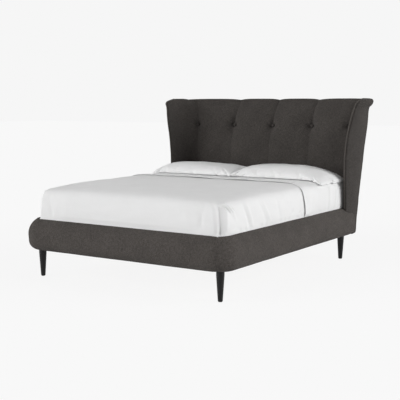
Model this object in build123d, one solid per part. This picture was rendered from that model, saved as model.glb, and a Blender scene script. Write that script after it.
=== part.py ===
from build123d import *
import os
from math import acos, asin, cos, degrees, radians, sin, sqrt, tan

# Upholstered double bed with a winged, button tufted headboard, made up with a mattress and bedding.
# Lengths are in millimetres and angles in degrees. The origin is on the floor under the middle of the bed,
# +X is the right side seen from the foot, +Y points to the head and +Z is up.

# Mattress and bedding
mattress_width = 1590
mattress_length = 1990
mattress_thickness = 310
mattress_corner_radius = 72
mattress_bulge = 9
bedding_room = 10
sheet_thickness = 2
coverlet_thickness = 5
coverlet_length = 1096
cloth_gap = 0.4
fold_depth = 4
pillow_overhang = 5
pillow_depth = 480
pillow_height = 108
pillow_spacing = 4
pillow_setback = 134

# Rails
rail_lift = 198
rail_height = 226
rail_thickness = 70
rail_nose_height = 108
rail_under_radius = 66
rail_edge_radius = 6
rail_corner_radius = 150
rail_seam_angle = 27
rail_end_setback = 115
core_thickness = 25
core_height = 165
core_lift = 10
room_corner_radius = 70

# Base
slat_rows = 14
slat_width = 53
slat_thickness = 8
slat_bow = 15
holder_wall = 7
holder_roof = 3.5
holder_floor = 6
holder_height = 21
holder_length = 40
ledger_width = 30
ledger_height = 30
beam_width = 60
beam_height = 70
shoe_wall = 2.5
shoe_depth = 30
shoe_height_share = 0.75
block_width = 110
leg_inset = 45
leg_top_radius = 27
leg_foot_radius = 16
leg_foot_ease = 2
leg_collar = 30
plate_radius = 31
plate_thickness = 4
glide_radius = 13
glide_thickness = 3
centre_leg_radius = 20

# Headboard
headboard_height = 1286
headboard_depth = 252
headboard_lean = 231
headboard_sweep = 136
headboard_foot = 205
pad_foot = 345
roll_height = 71
lip_overhang = 18
wing_depth = 250
wing_standoff = 25
wing_flare = 80
wing_bulge = 27
nose_half_width = 13
nose_setback = 5
nose_rake = 8
board_thickness = 15
board_setback = 26
back_setback = 60
back_padding = 20
corner_radius = 160
top_corner_radius = 250
corner_pad = 18
corner_seam_inset = 110
inner_seam_share = 0.525
corner_seam_spread = 100
tuft_depth = 32
button_radius = 14
button_face_radius = 8
button_dome = 5
button_rim = 1
corner_button_turn = 33
cross_rail_thickness = 25
welt_radius = 4.5

# Running sizes shared by many pieces
touch_gap = 0.3
overrun = 40

# Cross sections of the headboard, from the pad's foot up to the roll. Each row gives shares of:
# pad height, lean of the channels, tuft depth, forward sweep of the outer seams, spread of those seams,
# wing flare, wing depth, bend of the wing into the front, growth of the outer corner radius, wing bulge.
pad_section_shares = [
    (0.00, 0.00, 0.15, 0.03, 0.00, 0.00, 0.94, 0.30, 0.00, 0.55),
    (0.09, 0.00, 0.15, 0.03, 0.00, 0.00, 0.94, 0.30, 0.00, 0.65),
    (0.32, 0.00, 0.19, 0.03, 0.00, 0.00, 0.98, 0.30, 0.05, 0.95),
    (0.50, 0.04, 0.25, 0.06, 0.00, 0.01, 0.99, 0.42, 0.05, 1.20),
    (0.64, 0.10, 0.38, 0.16, 0.03, 0.10, 1.00, 0.52, 0.10, 1.15),
    (0.75, 0.19, 0.62, 0.32, 0.07, 0.25, 1.00, 0.56, 0.20, 1.10),
    (0.82, 0.27, 1.00, 0.45, 0.10, 0.40, 0.99, 0.56, 0.35, 1.00),
    (0.90, 0.40, 0.62, 0.50, 0.20, 0.57, 0.96, 0.54, 0.60, 0.85),
    (1.00, 0.64, 0.42, 0.66, 0.37, 0.81, 0.89, 0.45, 1.00, 0.70),
]
# The same columns through the roll, where the first is a share of the roll's height, and one more
# column gives the share of the lip's overhang.
roll_section_shares = [
    (0.00, 0.64, 0.42, 0.66, 0.37, 0.81, 0.89, 0.45, 1.00, 0.70, 0.00),
    (0.20, 0.70, 0.38, 0.70, 0.43, 0.87, 0.88, 0.44, 1.00, 0.70, 0.55),
    (0.42, 0.76, 0.35, 0.75, 0.53, 0.93, 0.85, 0.41, 1.00, 0.70, 0.92),
    (0.66, 0.83, 0.31, 0.80, 0.70, 0.98, 0.76, 0.36, 1.00, 0.70, 1.00),
    (0.87, 0.88, 0.27, 0.87, 0.88, 1.00, 0.52, 0.27, 1.00, 0.70, 0.62),
    (0.97, 0.91, 0.25, 0.91, 0.97, 0.97, 0.36, 0.19, 1.00, 0.70, 0.05),
    (1.00, 0.94, 0.25, 0.92, 1.00, 0.94, 0.30, 0.16, 1.00, 0.70, -0.45),
]

# The mattress block: shares of its height, of its edge inset and of its bulge at that height, and the
# strength of the coverlet's folds there.
mattress_edge_inset = 140
block_section_shares = [
    (0.00, 0.09, 0.03, 0.03), (0.05, 0.02, 0.03, 0.03), (0.12, 0.00, 0.03, 0.03), (0.26, 0.00, 0.03, 0.06),
    (0.36, 0.00, 0.75, 0.80), (0.50, 0.00, 1.00, 1.00), (0.72, 0.02, 0.80, 0.60), (0.84, 0.08, 0.55, 0.30),
    (0.92, 0.22, 0.40, 0.15), (0.965, 0.45, 0.30, 0.08), (0.99, 0.72, 0.20, 0.04), (1.00, 1.00, 0.20, 0.03),
]
# The head end bulges less, and the coverlet adds a little fullness between its folds and its hem.
head_bulge_share = 0.25
cover_bulge_share = 0.33
# Places of the folds along each side and across the foot, from the corner, as shares of fold_spacing.
fold_spacing = 95
side_fold_shares = [0.7, 1.5, 2.4, 3.1]
foot_fold_shares = [0.6, 1.3]
fold_valley_share = 0.5

# Half of a pillow from its end to its middle, as shares of its half length, depth and height.
pillow_section_shares = [
    (1.00, 0.90, 0.08), (0.96, 0.985, 0.32), (0.86, 1.00, 0.62), (0.62, 0.975, 0.88), (0.30, 0.96, 1.00),
]
pillow_seam_share = 0.3
pillow_base_share = 0.5
pillow_dip_share = 0.2

# Sizes worked out from the ones above
room_x = mattress_width / 2 + bedding_room
overall_length = rail_thickness + mattress_length + 2 * bedding_room + headboard_depth
foot_y = -overall_length / 2
room_foot_y = foot_y + rail_thickness
head_line = overall_length / 2 - headboard_depth
rail_end_y = head_line - rail_end_setback
rail_outer_x = room_x + rail_thickness
crown_rise = rail_height - rail_nose_height
crown_radius = (rail_thickness**2 + crown_rise**2) / (2 * rail_thickness)
corner_x = rail_outer_x - rail_corner_radius
corner_y = foot_y + rail_corner_radius
core_z = rail_lift + core_lift
mattress_z = pad_foot
mattress_top = mattress_z + mattress_thickness
slat_end_z = mattress_z - slat_thickness - slat_bow
ledger_top = slat_end_z - holder_floor
block_z = headboard_foot
leg_top = block_z - plate_thickness
beam_z = ledger_top - beam_height
leg_x = room_x - leg_inset
front_leg_y = room_foot_y + leg_inset
slat_end_margin = room_corner_radius + slat_width / 2 + holder_wall + touch_gap
rear_leg_y = rail_end_y - leg_inset / 2
rear_block_y0 = rear_leg_y - block_width / 2
roll_z = headboard_height - roll_height
pad_rise = roll_z - pad_foot
board_foot_y = head_line + back_setback
board_top_y = head_line + headboard_depth - lip_overhang - back_padding - board_thickness
rear_block_y1 = board_foot_y + board_thickness + back_padding - corner_radius
board_slope = (board_top_y - board_foot_y) / (roll_z - headboard_foot)
wing_edge_x = room_x + wing_standoff
wing_inner_x = wing_edge_x - board_thickness / 2
corner_seam_x = wing_edge_x - corner_seam_inset
inner_seam_x = inner_seam_share * corner_seam_x
pillow_length = mattress_width / 2 + pillow_overhang - pillow_spacing / 2


def block(x0, x1, y0, y1, z0, z1):
    """A box between two corners."""
    return Pos((x0 + x1) / 2, (y0 + y1) / 2, (z0 + z1) / 2) * Box(x1 - x0, y1 - y0, z1 - z0)


def save(shape, node):
    """Write one node, from one solid or a list of separate solids."""
    solids = shape if isinstance(shape, list) else [shape]
    bodies = [body for solid in solids for body in solid.solids()]
    whole = bodies[0] if len(bodies) == 1 else Compound(children=bodies)
    export_step(whole, f"parts/{node}.step")


def other_side(shape):
    """The same piece on the left side."""
    return mirror(shape, Plane.YZ)


def save_pair(shape, node):
    """Write a right hand piece and its mirrored left hand twin."""
    save(shape, f"{node}_right")
    save(other_side(shape), f"{node}_left")


def closed_face(points, bends=None):
    """A flat face through 3D points, where bends maps an edge's number to its middle point."""
    bends = bends or {}
    edges = []
    for i, start in enumerate(points):
        end = points[(i + 1) % len(points)]
        edges.append(ThreePointArc(start, bends[i], end) if i in bends else Line(start, end))
    return make_face(edges)


def bulge_point(start, end, depth):
    """The middle of an arc that leaves its chord by depth, to the right of its direction."""
    dx, dy = end[0] - start[0], end[1] - start[1]
    chord = sqrt(dx**2 + dy**2)
    return ((start[0] + end[0]) / 2 + depth * dy / chord, (start[1] + end[1]) / 2 - depth * dx / chord, start[2])


def mattress_room():
    """The space inside the rails, with rounded front corners."""
    length = mattress_length + 2 * bedding_room + overrun
    plan = Pos(0, room_foot_y + length / 2) * RectangleRounded(2 * room_x, length, room_corner_radius)
    return extrude(plan, rail_lift + rail_height + overrun)


def rail_section():
    """Bullnose section, u outward from the inner face and v up from the underside."""
    t = rail_thickness
    face = make_face([
        Line((0, 0), (t - rail_under_radius, 0)),
        CenterArc((t - rail_under_radius, rail_under_radius), rail_under_radius, -90, 90),
        Line((t, rail_under_radius), (t, rail_nose_height)),
        CenterArc((t - crown_radius, rail_nose_height), crown_radius, 0, degrees(asin(crown_rise / crown_radius))),
        Line((0, rail_height), (0, 0)),
    ])
    return fillet(face.vertices().sort_by(Axis.Y)[-1], rail_edge_radius)


def rail_cores():
    """Timber boards inside the side rail and the foot rail."""
    side = block(room_x, room_x + core_thickness, room_foot_y + room_corner_radius, rail_end_y,
                 core_z, core_z + core_height)
    reach = room_x - room_corner_radius
    foot = block(-reach, reach, room_foot_y - core_thickness, room_foot_y, core_z, core_z + core_height)
    return side, foot


def rail_corner(start_angle, arc):
    """Part of the right front corner of the cover, turned from the side towards the foot."""
    plane = Plane((corner_x, corner_y, rail_lift), x_dir=(cos(radians(start_angle)), -sin(radians(start_angle)), 0),
                  z_dir=(-sin(radians(start_angle)), -cos(radians(start_angle)), 0))
    profile = plane * (Pos(rail_corner_radius - rail_thickness, 0) * rail_section())
    return revolve(profile, Axis((corner_x, corner_y, 0), (0, 0, -1)), arc)


def rail_covers():
    """Padded covers: a side with most of its front corner, and the foot between the two corner seams."""
    side_core, foot_core = rail_cores()
    side_plane = Plane((room_x, rail_end_y, rail_lift), x_dir=(1, 0, 0), z_dir=(0, -1, 0))
    side = extrude(side_plane * rail_section(), rail_end_y - corner_y)
    side += rail_corner(0, 90 - rail_seam_angle)
    foot_plane = Plane((corner_x, room_foot_y, rail_lift), x_dir=(0, -1, 0), z_dir=(-1, 0, 0))
    foot = extrude(foot_plane * rail_section(), 2 * corner_x)
    foot_corner = rail_corner(90 - rail_seam_angle, rail_seam_angle)
    foot += foot_corner
    foot += other_side(foot_corner)
    room = mattress_room()
    side = side - room - side_core
    foot = foot - room - foot_core
    return side, foot


def corner_block_front():
    """Timber block in the front corner, which carries the leg and the first slat."""
    shape = block(room_x - block_width, room_x, room_foot_y, room_foot_y + block_width, block_z, ledger_top)
    corner = shape.edges().filter_by(Axis.Z).sort_by(Axis.X)[-2:].sort_by(Axis.Y)[0]
    return fillet(corner, room_corner_radius)


def corner_block_rear():
    """Timber block across the joint of side rail and headboard, which carries the rear leg."""
    along_rail = block(room_x - block_width, room_x, rear_block_y0, rear_block_y1, block_z, ledger_top)
    to_wing = block(room_x, wing_inner_x, rail_end_y, rear_block_y1, block_z, ledger_top)
    return along_rail + to_wing


def turned_leg():
    """Tapered round leg with a short straight collar and an eased foot, on its own axis."""
    profile = make_face([
        Line((0, glide_thickness), (leg_foot_radius - leg_foot_ease, glide_thickness)),
        Line((leg_foot_radius - leg_foot_ease, glide_thickness), (leg_foot_radius, glide_thickness + leg_foot_ease)),
        Line((leg_foot_radius, glide_thickness + leg_foot_ease), (leg_top_radius, leg_top - leg_collar)),
        Line((leg_top_radius, leg_top - leg_collar), (leg_top_radius, leg_top)),
        Line((leg_top_radius, leg_top), (0, leg_top)),
        Line((0, leg_top), (0, glide_thickness)),
    ])
    return revolve(Plane.XZ * profile, Axis.Z, 360)


def leg_places():
    """Leg name and place in plan."""
    return [
        ("leg_front_right", leg_x, front_leg_y), ("leg_front_left", -leg_x, front_leg_y),
        ("leg_rear_right", leg_x, rear_leg_y), ("leg_rear_left", -leg_x, rear_leg_y),
    ]


def disc(x, y, z, radius, height):
    """An upright disc standing at z."""
    return Pos(x, y, z + height / 2) * Cylinder(radius, height)


def centre_beam():
    """Timber beam under the middle of the slats, resting in a shoe at each end."""
    return block(-beam_width / 2, beam_width / 2, room_foot_y + shoe_wall, head_line - shoe_wall,
                 beam_z, ledger_top)


def beam_shoe(wall_y, inward):
    """Steel saddle on a wall, under and beside the beam's end."""
    y0, y1 = sorted((wall_y, wall_y + inward * shoe_depth))
    half = beam_width / 2 + shoe_wall
    saddle = block(-half, half, y0, y1, beam_z - shoe_wall, beam_z + shoe_height_share * beam_height)
    back_y0, back_y1 = sorted((wall_y + inward * shoe_wall, wall_y + inward * (shoe_depth + overrun)))
    return saddle - block(-beam_width / 2, beam_width / 2, back_y0, back_y1, beam_z, ledger_top)


def slat_stations():
    """Places of the slat rows along the bed."""
    first = room_foot_y + slat_end_margin
    pitch = (head_line - slat_end_margin - first) / (slat_rows - 1)
    return [first + i * pitch for i in range(slat_rows)]


def slat_span():
    """Where a right hand slat starts, at the centre holder's web, and ends, at the outer holder's wall."""
    return holder_wall + touch_gap, room_x - holder_wall - touch_gap


def sprung_slat(y):
    """Bent wood slat of the right column, bowed up towards the mattress."""
    x0, x1 = slat_span()
    y0 = y - slat_width / 2
    top = slat_end_z + slat_thickness
    middle = (x0 + x1) / 2
    face = closed_face(
        [(x0, y0, slat_end_z), (x1, y0, slat_end_z), (x1, y0, top), (x0, y0, top)],
        {0: (middle, y0, slat_end_z + slat_bow), 2: (middle, y0, top + slat_bow)},
    )
    return extrude(face, slat_width, dir=(0, 1, 0))


def holder_pocket(y, x0, x1):
    """The space that a slat's end needs inside a holder."""
    half = slat_width / 2 + touch_gap
    return block(x0, x1, y - half, y + half, slat_end_z - touch_gap, ledger_top + holder_height - holder_roof)


def outer_holder(y):
    """Cap on the ledger that takes the outer end of a slat."""
    half = slat_width / 2 + holder_wall
    shell = block(room_x - holder_length, room_x, y - half, y + half, ledger_top, ledger_top + holder_height)
    return shell - holder_pocket(y, room_x - holder_length - overrun, room_x - holder_wall)


def centre_holder(y):
    """Double cap on the beam that takes the inner ends of both slats of a row."""
    half = slat_width / 2 + holder_wall
    shell = block(-holder_length, holder_length, y - half, y + half, ledger_top, ledger_top + holder_height)
    for side in (-1, 1):
        x0, x1 = sorted((side * holder_wall, side * (holder_length + overrun)))
        shell = shell - holder_pocket(y, x0, x1)
    return shell


def section_values(shares, z):
    """Real sizes of one headboard cross section at height z."""
    lean, tuft, sweep, spread, flare, reach, bend, growth, bulge = shares[1:10]
    lip = shares[10] if len(shares) > 10 else 0
    channel_y = head_line + lean * headboard_lean
    seam_y = channel_y + tuft * tuft_depth
    edge_x = wing_edge_x + flare * wing_flare
    edge_y = head_line - reach * wing_depth
    board_y = board_foot_y + board_slope * (min(z, roll_z) - headboard_foot)
    cover_y = board_y + board_thickness + back_padding
    radius = corner_radius + growth * (top_corner_radius - corner_radius)
    return {
        "z": z, "edge_x": edge_x, "edge_y": edge_y, "board_y": board_y, "radius": radius,
        "cover_x": edge_x + bulge * wing_bulge, "cover_y": cover_y, "lip": lip * lip_overhang,
        "tuft": tuft * tuft_depth, "seam_y": seam_y,
        "corner_seam": (corner_seam_x + spread * corner_seam_spread, seam_y - sweep * headboard_sweep),
        "inner_seam": (inner_seam_x, seam_y - sweep * headboard_sweep * inner_seam_share**3),
        "bend": (edge_x - corner_pad, head_line - bend * wing_depth),
    }


def pad_sections():
    """Cross sections of the pad from its foot to the roll."""
    return [section_values(row, pad_foot + row[0] * pad_rise) for row in pad_section_shares]


def frame_sections():
    """The same sections for the boards and the outside cover, which start at the headboard's foot."""
    rows = pad_sections()
    rows[0] = section_values(pad_section_shares[0], headboard_foot)
    rows[-1] = section_values(pad_section_shares[-1], roll_z - touch_gap)
    return rows


def roll_sections():
    """Cross sections of the roll over the top."""
    return [section_values(row, roll_z + row[0] * roll_height) for row in roll_section_shares]


def front_outline(s):
    """Points and arcs of the tufted front, from the right wing's nose to the left one."""
    z = s["z"]
    nose = (s["edge_x"] - nose_half_width, s["edge_y"] + nose_setback + nose_rake, z)
    bend = (*s["bend"], z)
    right = [nose, bend, (*s["corner_seam"], z), (*s["inner_seam"], z)]
    points = right + [(0, s["seam_y"], z)] + [(-x, y, z) for x, y, z in reversed(right)]
    turn = bulge_point(bend, right[2], turn_depth(nose, bend, right[2]))
    outer = bulge_point(right[2], right[3], -s["tuft"])
    inner = bulge_point(right[3], points[4], -s["tuft"])
    bends = {1: turn, 2: outer, 3: inner}
    for number, point in ((4, inner), (5, outer), (6, turn)):
        bends[number] = (-point[0], point[1], z)
    return points, bends


def turn_depth(nose, bend, seam):
    """Sagitta of the arc that leaves the wing in line with it and ends at the corner seam."""
    ax, ay = bend[0] - nose[0], bend[1] - nose[1]
    bx, by = seam[0] - bend[0], seam[1] - bend[1]
    chord = sqrt(bx**2 + by**2)
    turn = asin((ax * by - ay * bx) / (sqrt(ax**2 + ay**2) * chord))
    return chord / 2 * tan(turn / 2)


def outside_outline(s, grow=0):
    """Points and arcs of the outside, from the left wing's nose round the back to the right one."""
    z, r = s["z"], s["radius"] + grow
    x, y = s["cover_x"] + grow, s["cover_y"] + grow
    nose = (s["edge_x"] + nose_half_width + grow, s["edge_y"] + nose_setback + nose_rake, z)
    right = [(x - r, y, z), (x, y - r, z), nose]
    points = [(-px, py, pz) for px, py, pz in reversed(right)] + right
    middle = (x - r + r * cos(radians(45)), y - r + r * sin(radians(45)), z)
    return points, {1: (-middle[0], middle[1], z), 3: middle}


def board_outline(s, offset):
    """Right to left points of the frame's face, at an offset outward from its inner face."""
    z, r = s["z"], s["radius"]
    x = s["edge_x"] - board_thickness / 2 + offset
    y = s["board_y"] + offset
    back_x = s["cover_x"] - r
    side_y = s["cover_y"] - r
    right = [(x, s["edge_y"] + board_setback, z), (x, side_y, z), (back_x, y, z)]
    return right + [(-px, py, pz) for px, py, pz in reversed(right)]


def pad_face(s):
    """One cross section of the pad below the roll."""
    points, bends = front_outline(s)
    z, tip_y = s["z"], s["edge_y"] + nose_setback
    half_gap = touch_gap / 2
    tip = s["edge_x"] - half_gap
    left = [(-tip, tip_y, z), (-tip, s["edge_y"] + board_setback - touch_gap, z)]
    back = [(px, py - (0 if i in (0, 5) else touch_gap), pz)
            for i, (px, py, pz) in enumerate(reversed(board_outline(s, -touch_gap)))]
    right = [(-px, py, pz) for px, py, pz in reversed(left)]
    return closed_face(points + left + back + right, bends)


def roll_face(s):
    """One cross section of the roll, from the front over to the lip outside the cover."""
    points, bends = front_outline(s)
    outside, outside_bends = outside_outline(s, s["lip"])
    for number, point in outside_bends.items():
        bends[len(points) + number] = point
    return closed_face(points + outside, bends)


def cover_face(s):
    """One cross section of the outside cover round the frame."""
    z, tip_y = s["z"], s["edge_y"] + nose_setback
    tip = s["edge_x"] + touch_gap / 2
    points, bends = outside_outline(s)
    right = [(tip, tip_y, z), (tip, s["edge_y"] + board_setback - touch_gap, z)]
    inner = board_outline(s, board_thickness + 2 * touch_gap)
    left = [(-px, py, pz) for px, py, pz in reversed(right)]
    return closed_face(points + right + inner + left, bends)


def stacked(faces):
    """One solid through cross sections at rising heights."""
    return loft(faces, ruled=True)


def notch():
    """What the wings leave free for the rails that pass under them: all that lies below the rails' crowns."""
    grown = crown_radius + touch_gap
    angle = acos((crown_radius - rail_thickness) / grown)
    nose_z = rail_lift + rail_nose_height
    inside_x, outside_x, top_z = room_x - overrun, rail_outer_x + touch_gap, nose_z + grown * sin(angle)
    profile = make_face([
        Line((outside_x, 0), (outside_x, nose_z)),
        CenterArc((rail_outer_x - crown_radius, nose_z), grown, 0, degrees(angle)),
        Line((room_x, top_z), (inside_x, top_z)),
        Line((inside_x, top_z), (inside_x, 0)),
        Line((inside_x, 0), (outside_x, 0)),
    ])
    plane = Plane((0, rail_end_y + touch_gap, 0), x_dir=(1, 0, 0), z_dir=(0, -1, 0))
    side = extrude(plane * profile, rail_end_y + touch_gap + overrun)
    return side + other_side(side)


def button_places():
    """Place and turn of each button, drawn into the pad on its seam."""
    s = max(pad_sections(), key=lambda section: section["tuft"])
    places = [(0, s["seam_y"], 0)]
    for x, y, turn in ((*s["inner_seam"], 0), (*s["corner_seam"], corner_button_turn)):
        places += [(x, y, -turn), (-x, y, turn)]
    return [(x, y, s["z"], turn) for x, y, turn in places]


def button(x, y, z, turn, grow=0):
    """Round upholstered button on its seam, domed on both faces, facing the sleeper."""
    r, face, dome, rim = (size + grow for size in (button_radius, button_face_radius, button_dome, button_rim))
    outline = [(0, -dome), (face, -dome), (r, -rim), (r, rim), (face, dome), (0, dome)]
    profile = make_face([Line(start, end) for start, end in zip(outline, outline[1:] + outline[:1])])
    return Pos(x, y, z) * Rot(0, 0, turn) * revolve(profile, Axis.Y, 360)


def headboard_pad():
    """Front padding in six channels with its roll over the top."""
    pad = stacked([pad_face(s) for s in pad_sections()]) - notch()
    pad += stacked([roll_face(s) for s in roll_sections()])
    for x, y, z, turn in button_places():
        pad -= button(x, y, z, turn, touch_gap)
    return pad


def headboard_cover():
    """Upholstered outside of wings and back."""
    return stacked([cover_face(s) for s in frame_sections()]) - notch()


def board_strip(first, last):
    """One flat board of the frame, between two corners of its outline."""
    faces = []
    for s in frame_sections():
        inner, outer = board_outline(s, 0), board_outline(s, board_thickness)
        faces.append(closed_face([inner[first], inner[last], outer[last], outer[first]]))
    return stacked(faces)


def cross_rail():
    """Timber across the headboard's foot, cut to meet the corner panels, under the pad."""
    rail = block(-wing_inner_x, wing_inner_x, head_line, head_line + cross_rail_thickness,
                 headboard_foot, pad_foot)
    bay = stacked([closed_face(board_outline(s, -touch_gap)) for s in frame_sections()])
    return rail & bay


def wing_welt():
    """Piping down the right wing's front edge."""
    faces = []
    for s in pad_sections()[1:] + roll_sections()[1:-1]:
        faces.append(Pos(s["edge_x"], s["edge_y"], s["z"]) * Circle(welt_radius))
    return stacked(faces)


def block_sizes(offset, inset):
    """Half width, foot and head ends and corner radius of the mattress block at one height."""
    x = mattress_width / 2 + offset - inset
    y0 = room_foot_y + bedding_room - offset + inset
    y1 = head_line - bedding_room + offset - inset
    return x, y0, y1, mattress_corner_radius + offset


def corner_drop(radius):
    """How far the middle of a rounded corner stays back from the square corner, on each axis."""
    return radius * (1 - cos(radians(45)))


def block_plan(offset, inset, bulge, z):
    """Rounded rectangle of the mattress block at one height."""
    x, y0, y1, r = block_sizes(offset, inset)
    d = corner_drop(r)
    points = [(x, y0 + r, z), (x, y1 - r, z), (x - r, y1, z), (-x + r, y1, z),
              (-x, y1 - r, z), (-x, y0 + r, z), (-x + r, y0, z), (x - r, y0, z)]
    bends = {0: (x + bulge, (y0 + y1) / 2, z), 1: (x - d, y1 - d, z), 2: (0, y1 + bulge * head_bulge_share, z),
             3: (-x + d, y1 - d, z), 4: (-x - bulge, (y0 + y1) / 2, z), 5: (-x + d, y0 + d, z),
             6: (0, y0 - bulge, z), 7: (x - d, y0 + d, z)}
    return closed_face(points, bends)


def bulge_share(distance, length):
    """How much of a side's bulge is reached at a distance from its end."""
    share = distance / length
    return 4 * share * (1 - share)


def folded_plan(offset, inset, bulge, folds, z):
    """Plan of the coverlet at one height, with soft folds beside its two foot corners."""
    x, y0, y1, r = block_sizes(offset, inset)
    d = corner_drop(r)
    end_y = room_foot_y + bedding_room + coverlet_length
    places = [share * fold_spacing for share in reversed(side_fold_shares)]
    side = [(x + bulge * bulge_share(place, y1 - y0 - 2 * r), y0 + r + place, z) for place in places]
    places = [share * fold_spacing for share in foot_fold_shares]
    foot = [(x - r - place, y0 - bulge * bulge_share(place, 2 * (x - r)), z) for place in places]
    right = [(x + bulge, end_y, z)] + side + [(x, y0 + r, z), (x - r, y0, z)] + foot
    points = right + [(-px, py, pz) for px, py, pz in reversed(right)]
    corner = len(side) + 1
    middle = len(right) - 1
    bends = {0: bulge_point(right[0], right[1], -bulge * cover_bulge_share)}
    for i in range(1, middle):
        depth = folds * fold_depth * (-1 if i % 2 else fold_valley_share)
        bends[i] = bulge_point(points[i], points[i + 1], depth)
    bends[corner] = (x - d, y0 + d, z)
    bends[middle] = (0, y0 - bulge, z)
    for i in range(middle):
        px, py, pz = bends[i]
        bends[len(points) - 2 - i] = (-px, py, pz)
    return closed_face(points, bends)


def mattress_block(offset):
    """The mattress form grown by an offset, from its flat base to its crowned top."""
    faces = []
    for height, inset, bulge, folds in block_section_shares:
        z = mattress_z + height * (mattress_top + offset - mattress_z)
        faces.append(block_plan(offset, inset * mattress_edge_inset, bulge * mattress_bulge, z))
    return stacked(faces)


def fitted_sheet():
    """Lower sheet drawn over the mattress, open underneath."""
    outer = mattress_block(cloth_gap + sheet_thickness)
    return outer - mattress_block(cloth_gap)


def coverlet():
    """Upper sheet from the foot to its hem, tucked in between mattress and rails."""
    offset = 2 * cloth_gap + sheet_thickness
    outer = offset + coverlet_thickness
    faces = []
    for height, inset, bulge, folds in block_section_shares:
        z = mattress_z + height * (mattress_top + outer - mattress_z)
        faces.append(folded_plan(outer, inset * mattress_edge_inset, bulge * mattress_bulge, folds, z))
    return stacked(faces) - mattress_block(offset)


def pillow():
    """Right hand pillow: crowned, with a sewn edge, drawn-in sides and a flat rest on the sheet."""
    base = mattress_top + cloth_gap + sheet_thickness + touch_gap
    centre_x = (pillow_length + pillow_spacing) / 2
    centre_y = head_line - pillow_setback - pillow_depth / 2
    stations = [(-share, depth, height) for share, depth, height in pillow_section_shares]
    stations += [(share, depth, height) for share, depth, height in reversed(pillow_section_shares)]
    faces = []
    for share, depth, height in stations:
        x = centre_x + share * pillow_length / 2
        half = depth * pillow_depth / 2
        top = height * pillow_height
        seam = pillow_seam_share * pillow_height
        low = seam * (1 - height)
        rest = half * pillow_base_share
        points = [(x, centre_y - half, base + seam), (x, centre_y - rest, base + low),
                  (x, centre_y + rest, base + low), (x, centre_y + half, base + seam)]
        dip_z = base + (seam + low) / 2 - (seam - low) * pillow_dip_share
        bends = {
            0: (x, centre_y - (half + rest) / 2, dip_z),
            2: (x, centre_y + (half + rest) / 2, dip_z),
            3: (x, centre_y, base + seam + max(top - seam, seam * height)),
        }
        faces.append(closed_face(points, bends))
    return stacked(faces)


os.makedirs("parts", exist_ok=True)

side_core, foot_core = rail_cores()
save_pair(side_core, "side_rail_core")
save(foot_core, "foot_rail_core")
side_cover, foot_cover = rail_covers()
save_pair(side_cover, "side_rail_cover")
save(foot_cover, "foot_rail_cover")

save_pair(corner_block_front(), "corner_block_front")
save_pair(corner_block_rear(), "corner_block_rear")
ledger = block(room_x - ledger_width, room_x, room_foot_y + block_width, rear_block_y0,
               ledger_top - ledger_height, ledger_top)
save_pair(ledger, "slat_ledger")

for name, x, y in leg_places():
    save(Pos(x, y) * turned_leg(), name)
save([disc(x, y, leg_top, plate_radius, plate_thickness) for name, x, y in leg_places()], "leg_plates")
centre_leg_y = (room_foot_y + head_line) / 2
save(disc(0, centre_leg_y, glide_thickness, centre_leg_radius, beam_z - glide_thickness), "centre_leg")
glides = [disc(x, y, 0, glide_radius, glide_thickness) for name, x, y in leg_places()]
save(glides + [disc(0, centre_leg_y, 0, glide_radius, glide_thickness)], "leg_glides")

save(centre_beam(), "centre_beam")
save([beam_shoe(room_foot_y, 1), beam_shoe(head_line, -1)], "centre_beam_shoes")
for i, y in enumerate(slat_stations(), 1):
    slat = sprung_slat(y)
    save([slat, other_side(slat)], f"slat_row_{i:02d}")
holders = [outer_holder(y) for y in slat_stations()]
save(holders, "slat_holders_right")
save([other_side(holder) for holder in holders], "slat_holders_left")
save([centre_holder(y) for y in slat_stations()], "slat_holders_centre")

save(cross_rail(), "headboard_cross_rail")
save_pair(board_strip(0, 1) - notch(), "wing_board")
save_pair(board_strip(1, 2), "corner_panel")
save(board_strip(2, 3), "back_board")
save(headboard_pad(), "headboard_pad")
save(headboard_cover(), "headboard_back_cover")
save([button(*place) for place in button_places()], "headboard_buttons")
save_pair(wing_welt(), "wing_welt")

save(mattress_block(0), "mattress")
save(fitted_sheet(), "fitted_sheet")
save(coverlet(), "coverlet")
save_pair(pillow(), "pillow")
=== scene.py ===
import math

import bmesh
import bpy
import numpy as np
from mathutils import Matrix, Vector


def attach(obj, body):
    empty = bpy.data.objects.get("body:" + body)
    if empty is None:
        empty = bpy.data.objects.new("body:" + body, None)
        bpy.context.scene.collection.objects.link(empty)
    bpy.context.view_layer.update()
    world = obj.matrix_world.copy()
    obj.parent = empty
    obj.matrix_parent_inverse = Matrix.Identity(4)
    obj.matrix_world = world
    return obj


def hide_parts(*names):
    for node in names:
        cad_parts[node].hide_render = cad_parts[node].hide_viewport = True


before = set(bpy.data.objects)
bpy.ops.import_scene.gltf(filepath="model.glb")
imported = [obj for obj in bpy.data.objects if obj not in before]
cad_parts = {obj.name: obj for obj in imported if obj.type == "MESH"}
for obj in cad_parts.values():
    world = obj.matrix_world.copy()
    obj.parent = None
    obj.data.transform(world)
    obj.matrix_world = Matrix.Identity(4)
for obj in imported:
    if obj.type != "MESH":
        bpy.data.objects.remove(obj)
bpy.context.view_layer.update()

# Upholstered winged bed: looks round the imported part. Metres, with the origin on the floor under the
# middle of the bed, +X right seen from the foot, +Y towards the head and +Z up.

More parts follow.
